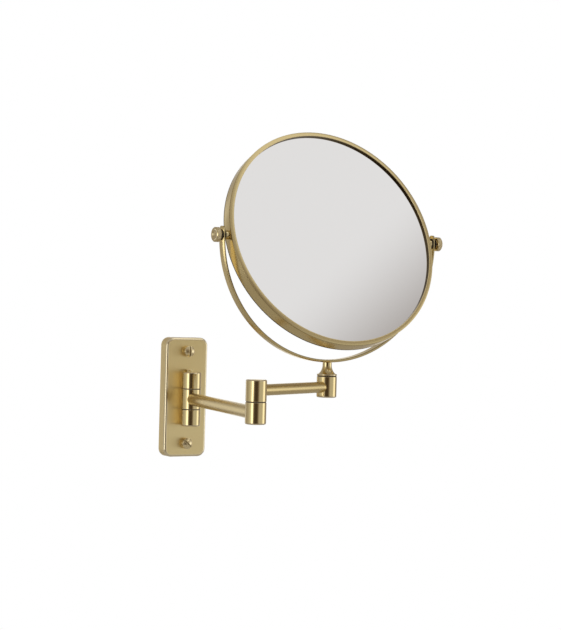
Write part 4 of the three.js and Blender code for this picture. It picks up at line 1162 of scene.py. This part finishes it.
class MIRROR_OT_head(Operator):
    """Fit the mirror head: band, two bezels and two glasses, all turned about the head's axis"""

    bl_idname = "mirror.head"
    bl_label = "Mirror head"

    THICKNESS = 13.4 * MM
    BAND_WALL = 2.4 * MM
    RIM = 0.9 * MM  # edge of the bezel outside the band
    BEAD = 0.7 * MM  # how far the band's edges bend in
    BEZEL_WIDTH = 3.8 * MM
    LIP = 2.3 * MM  # from the bezel's face down to the glass
    LIP_EDGE = 0.3 * MM
    LIP_FLAT = 0.5 * MM
    SLANT = 0.25  # share of the crown that is a plain slant
    SKIRT = 0.5 * MM
    SKIRT_DEPTH = 4.7 * MM
    PANE_INSET = 0.8 * MM
    PANE = 3.0 * MM
    PANE_EDGE = 0.15 * MM
    BOWL = 2.2 * MM
    SAG = 3.2 * MM
    TURNS = 320
    GROOVE_SHADE_MARK = -0.8  # edge marks: painted shade beside a groove and on the bezel's rim; paler, wear and painted highlight, on its face and lip
    RIM_MARK, FACE_MARK, LIP_MARK = -0.5, 0.1, 0.5

    def band(self, end):
        """Section of the hoop. Beside each groove its face bends in by B (1 - cos t), over a length
        of L (1 - sin t), for t from 0 to a quarter turn."""
        inner = HEAD_RADIUS - self.BAND_WALL
        # painted shade that deepens towards each groove, and on the hidden inner face
        marks = np.linspace(0, self.GROOVE_SHADE_MARK, 9)
        edge = [
            (
                HEAD_RADIUS - self.BEAD * (1 - math.cos(t)),
                end - sizes().groove * (1 - math.sin(t)),
                0,
                mark,
            )
            for t, mark in zip(np.linspace(0, math.pi / 2, len(marks)), marks)
        ]
        return [
            (inner, -end, 0, -1),
            *[(radius, -height, 0, mark) for radius, height, _, mark in edge[::-1]],
            *edge,
            (inner, end, 0, -1),
        ]

    def bezel(self, face, end):
        """Section of a ring whose face falls outwards by C (s u + (1 - s) u^2), u being the share
        of the way from its flat to its outer edge."""
        lip, skirt = HEAD_RADIUS - self.BEZEL_WIDTH, HEAD_RADIUS - self.BAND_WALL - 2 * GAP
        flat = lip + self.LIP_FLAT
        out = np.linspace(1, 0, 12)
        fall = sizes().bezel_crown * (self.SLANT * out + (1 - self.SLANT) * out**2)
        arch = [
            (flat + (HEAD_RADIUS - flat) * u, face - drop, 0, self.FACE_MARK)
            for u, drop in zip(out, fall)
        ]
        arch[0] = (*arch[0][:3], self.RIM_MARK)
        seat, hem = face - self.LIP + GAP, face - self.SKIRT_DEPTH
        # marks of -1 paint shade on the lip's wall, the skirt and the back face at the groove
        return [
            (lip, seat, 0, -1),
            (skirt - self.SKIRT, seat, 0),
            (skirt - self.SKIRT, hem, 0),
            (skirt, hem, 0),
            (skirt, end + GAP, 0, -1),
            (HEAD_RADIUS - GAP, end + GAP, 0, -1),
            *arch,
            (lip, face, self.LIP_EDGE, self.LIP_MARK),
            (lip, face - 1.5 * self.LIP_EDGE, 0, -1),
        ]

    def bowl(self, radius, level):
        """Section of the magnifying glass: both faces sink by S (1 - (r / R)^2)."""
        shares = np.linspace(0, 1, 40)
        sag = self.SAG * (1 - shares**2)
        outer = [(radius * r, level - s, 0) for r, s in zip(shares, sag)]
        return outer + [(r, height - self.BOWL, 0) for r, height, _ in outer[::-1]]

    def execute(self, context):
        tilt = sizes().rest_tilt
        normal = np.array([0, -math.cos(tilt), math.sin(tilt)])
        where, behind = stand(TILT, normal), stand(TILT, -normal)
        face = self.THICKNESS / 2
        end = face - self.RIM
        hoop = lathe(rounded(self.band(end), steps=6), where, self.TURNS)
        make_piece("band", [hoop], "Drawn brass", "mirror_head", "mirror_band")
        for name, place in (("front", where), ("rear", behind)):
            ring = lathe(rounded(self.bezel(face, end), steps=5), place, self.TURNS)
            make_piece(name + "_ring", [ring], "Satin brass", "mirror_head", name + "_bezel")
        radius = HEAD_RADIUS - self.BAND_WALL - self.PANE_INSET
        level = face - self.LIP
        edges = {"foot": self.PANE_EDGE, "tip": self.PANE_EDGE}
        pane = rod(radius, level, level - self.PANE, where, self.TURNS, **edges)
        make_piece("front_pane", [pane], "Silvered glass", "mirror_head", "front_glass")
        bowl = lathe(rounded(self.bowl(radius, level), closed=False), behind, self.TURNS)
        make_piece("rear_pane", [bowl], "Silvered glass", "mirror_head", "rear_glass")
        return {"FINISHED"}


class MIRROR_OT_pivots(Operator):
    """Fit both pivots: boss in the band, washers beside the bow, and the knurled thumb screw"""

    bl_idname = "mirror.pivots"
    bl_label = "Pivots and thumb screws"

    GRIP = 6.3 * MM
    CHAMFER = 0.6 * MM
    COLLAR = 4.2 * MM  # radius of the neck between grip and washer
    COLLAR_LENGTH = 0.9 * MM
    KNURL_MARGIN = 0.75 * MM  # from an end of the grip to the knurling
    KNURL_SLOPE = 0.8
    KNURL_ROWS = 28
    POINTS_PER_DIAMOND = 10
    SINK = 4.2 * MM
    SINK_DEPTH = 1.7 * MM
    STUD_RADIUS = 2.0 * MM
    STUD_START = 97.85 * MM
    HOLE = 2.08 * MM
    BOSS_START = 97.65 * MM
    BOSS_SHANK = 3.0 * MM
    BOSS_RADIUS = 3.9 * MM
    WASHER_RADIUS = 4.8 * MM
    BOSS_WASHER = 0.6 * MM
    THUMB_WASHER = 0.8 * MM

    def thumb_screw(self, where):
        """Knurled head with a dished end, whose depth is D (1 - (r / R)^2). The grip's radius falls
        by the knurl's depth times the square of max(saw(n a + k h), saw(n a - k h)), which leaves
        diamonds between crossed grooves."""
        start = BOW_OUTER_RADIUS + self.THUMB_WASHER + 2 * GAP
        head = start + self.COLLAR_LENGTH
        end = high("right_thumb_screw")[0] - TILT[0]
        count, depth = sizes().knurl_count, sizes().knurl_depth
        rows = np.linspace(head + self.KNURL_MARGIN, end - self.KNURL_MARGIN, self.KNURL_ROWS)
        grip, chamfer = self.GRIP, self.CHAMFER
        shares = np.linspace(1, 0, 16)
        # marks: the knurling painted paler, wear and painted highlight, and the dish half as much
        corners = [
            (0, start, 0),
            (self.COLLAR, start, FINE),
            (self.COLLAR, head, 0),
            (grip - chamfer, head, FINE),
            (grip, head + chamfer, FINE),
            *[(grip, height, 0, 1) for height in rows],
            (grip, end - chamfer, FINE),
            (grip - chamfer, end, SMALL),
            *[(self.SINK * r, end - self.SINK_DEPTH * (1 - r * r), 0, 0.5) for r in shares],
        ]
        pitch = 2 * math.pi * grip / count
        centre, reach = rows.mean(), np.ptp(rows) / 2 + 1e-9

        def relief(angle, height, radius):
            inside = (radius > grip - 1e-6) & (np.abs(height - centre) < reach)
            turn = angle * count / (2 * math.pi)
            rise = height / pitch * self.KNURL_SLOPE
            first, second = (np.abs(np.mod(turn + k * rise, 1.0) - 0.5) * 2 for k in (1, -1))
            return np.where(inside, depth * np.maximum(first, second) ** 2, 0)

        turns = count * self.POINTS_PER_DIAMOND
        return lathe(rounded(corners, closed=False), where, turns, relief)

    def boss(self, seat, where):
        """Collar whose shank goes in through the band."""
        shoulder = HEAD_RADIUS + GAP
        corners = [
            (self.HOLE, self.BOSS_START, 0),
            (self.BOSS_SHANK, self.BOSS_START, 0),
            (self.BOSS_SHANK, shoulder, 0),
            (self.BOSS_RADIUS, shoulder, SMALL),
            (self.BOSS_RADIUS, seat, SOFT),
            (self.HOLE, seat, 0),
        ]
        return lathe(rounded(corners), where, BOSS_TURNS)

    def execute(self, context):
        """Everything is placed by its distance from the head's centre along the tilt axis."""
        inside = BOW_OUTER_RADIUS - BOW_THICKNESS - GAP - self.BOSS_WASHER
        outside = BOW_OUTER_RADIUS + GAP
        washers = (("boss", inside, self.BOSS_WASHER), ("thumb", outside, self.THUMB_WASHER))
        stud = (self.STUD_RADIUS, self.STUD_START, BOW_OUTER_RADIUS + 1.0 * MM)
        for name, side in (("left", -1), ("right", 1)):
            where = sideways(TILT, side)
            screw = [self.thumb_screw(where), rod(*stud, where, SHANK_TURNS, foot=SOFT)]
            thumb = name + "_thumb"
            make_piece(thumb, screw, "Turned brass", thumb, thumb + "_screw", crease=40)
            boss = self.boss(inside - GAP, where)
            make_piece(name + "_boss", [boss], "Turned brass", "mirror_head", name + "_pivot_boss")
            for kind, start, thick in washers:
                ends = (self.HOLE, self.WASHER_RADIUS, start, start + thick)
                disc = sleeve(*ends, where, BOSS_TURNS)
                node = f"{name}_{kind}_washer"
                make_piece(node + "_disc", [disc], "Friction nylon", "bow_frame", node)
        return {"FINISHED"}


class MIRROR_OT_stage(Operator):
    """Set the stage: pale floor, the studio's soft light all round, and the camera"""

    bl_idname = "mirror.stage"
    bl_label = "Stage"

    CAMERA_PLACE = (-704.666 * MM, -1471.92 * MM, 97.476 * MM)
    CAMERA_YAW = math.radians(28.783)
    CAMERA_PITCH = math.radians(-0.684)
    CAMERA_ROLL = math.radians(1.53)
    FOCAL_PIXELS = 1753.6
    SENSOR = 36.0
    FLOOR_LEVEL = -0.62
    FLOOR_REACH = 1.35
    FLOOR_GLOW = 0.8

    # Brightness of the studio by the angle in degrees from the camera, to its right: at eye level,
    # halfway up, overhead, and halfway down
    EYE_LEVEL = (
        (-180, 1.30), (-163, 0.50), (-152, 0.38), (-145, 0.46), (-141, 0.95), (-136, 0.95),
        (-132, 0.42), (-120, 0.34), (-86, 0.46), (-72, 0.56), (-60, 0.72), (-52, 0.84),
        (-45, 2.00), (-33, 2.00), (-27, 0.50), (-19, 0.15), (-10, 0.07), (11, 0.06),
        (20, 0.10), (28, 0.24), (36, 0.47), (46, 0.54), (68, 0.54), (77, 0.58),
        (84, 1.00), (91, 1.40), (105, 1.40), (112, 0.75), (119, 0.30), (140, 0.32),
        (163, 0.45), (180, 1.30),
    )
    ABOVE = (
        (-180, 0.42), (-140, 0.40), (-100, 0.33), (-70, 0.30), (-45, 0.42), (-20, 0.28),
        (0, 0.24), (34, 0.18), (50, 0.38), (60, 0.34), (76, 0.32), (92, 0.38),
        (108, 0.42), (122, 0.25), (150, 0.28), (180, 0.42),
    )
    OVERHEAD = (
        (-180, 0.36), (-110, 0.34), (-60, 0.44), (-25, 0.44), (20, 0.40), (42, 0.42),
        (50, 0.60), (56, 0.83), (92, 0.83), (106, 0.50), (125, 0.28), (180, 0.36),
    )
    BELOW = (
        (-180, 1.30), (-163, 0.40), (-128, 0.38), (-113, 0.56), (-80, 0.32), (-56, 0.14),
        (30, 0.12), (44, 0.22), (56, 0.36), (75, 0.34), (110, 0.36), (150, 0.32),
        (168, 0.40), (180, 1.30),
    )
    BRIGHTEST = 2.1
    WARM_UNDER = 0.5  # brightness under which the light turns warm

    # Heights of the direction, as sines, between which one ring turns into the next
    TO_ABOVE = (0.03, 0.46)
    TO_BELOW = (-0.12, -0.42)
    TO_OVERHEAD = (0.541, 0.613)
    # Shares of the whole turn, and what is added to the height there before it meets TO_OVERHEAD
    OVERHEAD_SHIFT = (0.64, 0.75, 0.06, -0.07)

    def camera_axes(self):
        """Right, up and forward of the camera: yaw from +Y towards +X, then pitch, then roll."""
        yaw, pitch, roll = self.CAMERA_YAW, self.CAMERA_PITCH, self.CAMERA_ROLL
        level = np.array([math.sin(yaw), math.cos(yaw), 0.0]) * math.cos(pitch)
        ahead = level + (0, 0, math.sin(pitch))
        right = np.array([math.cos(yaw), -math.sin(yaw), 0.0])
        up = np.cross(right, ahead)
        return (
            math.cos(roll) * right + math.sin(roll) * up,
            -math.sin(roll) * right + math.cos(roll) * up,
            ahead,
        )

    def add_camera(self):
        """Camera at the photograph's place, with its focal length in pixels."""
        right, up, ahead = self.camera_axes()
        data = bpy.data.cameras.new("Camera")
        data.sensor_fit = "AUTO"
        data.sensor_width = self.SENSOR
        data.lens = self.FOCAL_PIXELS * self.SENSOR / max(PHOTO_WIDTH, PHOTO_HEIGHT)
        data.clip_start, data.clip_end = 0.05, 20
        data.dof.use_dof = False
        camera = bpy.data.objects.new("Camera", data)
        matrix = Matrix.Identity(4)
        for column, axis in enumerate((right, up, -ahead, self.CAMERA_PLACE)):
            for row in range(3):
                matrix[row][column] = axis[row]
        camera.matrix_world = matrix
        bpy.context.scene.collection.objects.link(camera)
        bpy.context.scene.camera = camera

    def add_floor(self):
        """Plain square of paint, which glows where the camera sees it."""
        reach, level = self.FLOOR_REACH, self.FLOOR_LEVEL
        signs = ((-1, -1), (1, -1), (1, 1), (-1, 1))
        corners = [(x * reach, y * reach, level) for x, y in signs]
        mesh = bpy.data.meshes.new("floor")
        mesh.from_pydata(corners, [], [(0, 1, 2, 3)])
        tint = tuple(colours().floor)
        paint = moulded("Floor paint", tint, 1.03, (0.6, 0.75), 40)
        tree = paint.node_tree
        shader, out = tree.nodes["Principled BSDF"], tree.nodes["Material Output"]
        glow = add_node(tree, "ShaderNodeEmission", {"Color": opaque(tint)})
        seen = add_node(tree, "ShaderNodeLightPath").outputs["Is Camera Ray"]
        share = calculated(tree, "MULTIPLY", seen, self.FLOOR_GLOW)
        inputs = {0: share, 1: shader.outputs[0], 2: glow.outputs[0]}
        mixed = add_node(tree, "ShaderNodeMixShader", inputs)
        tree.links.new(mixed.outputs[0], out.inputs["Surface"])
        mesh.materials.append(paint)
        floor = bpy.data.objects.new("floor", mesh)
        bpy.context.scene.collection.objects.link(floor)

    def ring(self, tree, share, stops):
        """Colour by the angle from the camera. Dim places are warm, and bright ones neutral."""
        node = add_node(tree, "ShaderNodeValToRGB", {0: share})
        ramp = node.color_ramp
        for degrees, _ in stops[1:-1]:
            ramp.elements.new((degrees + 180) / 360)
        for stop, (_, value) in zip(sorted(ramp.elements, key=lambda e: e.position), stops):
            shade = value / self.BRIGHTEST
            light = min(1.0, value / self.WARM_UNDER)
            stop.color = (shade, shade * (0.70 + 0.30 * light), shade * (0.48 + 0.52 * light), 1)
        return node.outputs["Color"]

    def add_studio(self):
        """World whose brightness follows the direction: rings of strips by the angle from the
        camera. Overhead hangs a broad soft light, whose lower edge rises to the right. What the
        camera sees behind the object is plain white."""
        world = bpy.data.worlds.new("Studio")
        bpy.context.scene.world = world
        world.use_nodes = True
        tree = world.node_tree
        tree.nodes.clear()
        way = add_node(tree, "ShaderNodeTexCoord").outputs["Generated"]
        yaw = self.CAMERA_YAW
        to_right, to_camera = (
            add_node(
                tree, "ShaderNodeVectorMath", {0: way, 1: axis}, operation="DOT_PRODUCT"
            ).outputs["Value"]
            for axis in (
                (math.cos(yaw), -math.sin(yaw), 0),
                (-math.sin(yaw), -math.cos(yaw), 0),
            )
        )
        angle = calculated(tree, "ARCTAN2", to_right, to_camera)
        share = mapped(tree, angle, -math.pi, math.pi, 0.0, 1.0)
        rings = (self.EYE_LEVEL, self.ABOVE, self.OVERHEAD, self.BELOW)
        level, above, overhead, below = (self.ring(tree, share, stops) for stops in rings)
        height = add_node(tree, "ShaderNodeSeparateXYZ", {0: way}).outputs["Z"]
        raised = blended_by_height(tree, height, self.TO_ABOVE, level, above)
        lowered = blended_by_height(tree, height, self.TO_BELOW, raised, below)
        shift = mapped(tree, share, *self.OVERHEAD_SHIFT)
        shifted = calculated(tree, "ADD", height, shift)
        room = blended_by_height(tree, shifted, self.TO_OVERHEAD, lowered, overhead)
        lit = add_node(tree, "ShaderNodeBackground", {"Color": room, "Strength": self.BRIGHTEST})
        plain = add_node(tree, "ShaderNodeBackground", {"Color": (1, 1, 1, 1), "Strength": 1.0})
        seen = add_node(tree, "ShaderNodeLightPath").outputs["Is Camera Ray"]
        inputs = {0: seen, 1: lit.outputs[0], 2: plain.outputs[0]}
        choose = add_node(tree, "ShaderNodeMixShader", inputs)
        out = add_node(tree, "ShaderNodeOutputWorld")
        tree.links.new(choose.outputs[0], out.inputs["Surface"])

    def execute(self, context):
        self.add_camera()
        self.add_floor()
        self.add_studio()
        context.scene.view_settings.view_transform = "Standard"
        return {"FINISHED"}


class MIRROR_PT_panel(Panel):
    """Lists the steps and settings of the wall mirror"""

    bl_idname = "MIRROR_PT_panel"
    bl_label = "Wall mirror"
    bl_space_type = "VIEW_3D"
    bl_region_type = "UI"
    bl_category = "Wall mirror"

    def draw(self, context):
        for operator in STEPS:
            self.layout.operator(operator.bl_idname)
        for group in (context.scene.mirror_sizes, context.scene.mirror_colours):
            box = self.layout.box()
            for key in group.__annotations__:
                box.prop(group, key)


STEPS = (
    MIRROR_OT_stage,
    MIRROR_OT_finishes,
    MIRROR_OT_plate,
    MIRROR_OT_hinge,
    MIRROR_OT_wall_screws,
    MIRROR_OT_inner_arm,
    MIRROR_OT_outer_arm,
    MIRROR_OT_neck,
    MIRROR_OT_bow,
    MIRROR_OT_head,
    MIRROR_OT_pivots,
)
CLASSES = (MirrorSizes, MirrorColours, *STEPS, MIRROR_PT_panel)


def register():
    """Registers the classes, and hangs the settings on the scene."""
    for cls in CLASSES:
        bpy.utils.register_class(cls)
    bpy.types.Scene.mirror_sizes = PointerProperty(type=MirrorSizes)
    bpy.types.Scene.mirror_colours = PointerProperty(type=MirrorColours)


def unregister():
    """Undoes register."""
    del bpy.types.Scene.mirror_colours
    del bpy.types.Scene.mirror_sizes
    for cls in reversed(CLASSES):
        bpy.utils.unregister_class(cls)


def main():
    """Runs every step in order."""
    register()
    for operator in STEPS:
        getattr(bpy.ops.mirror, operator.bl_idname.split(".")[1])()


if __name__ == "__main__":
    main()
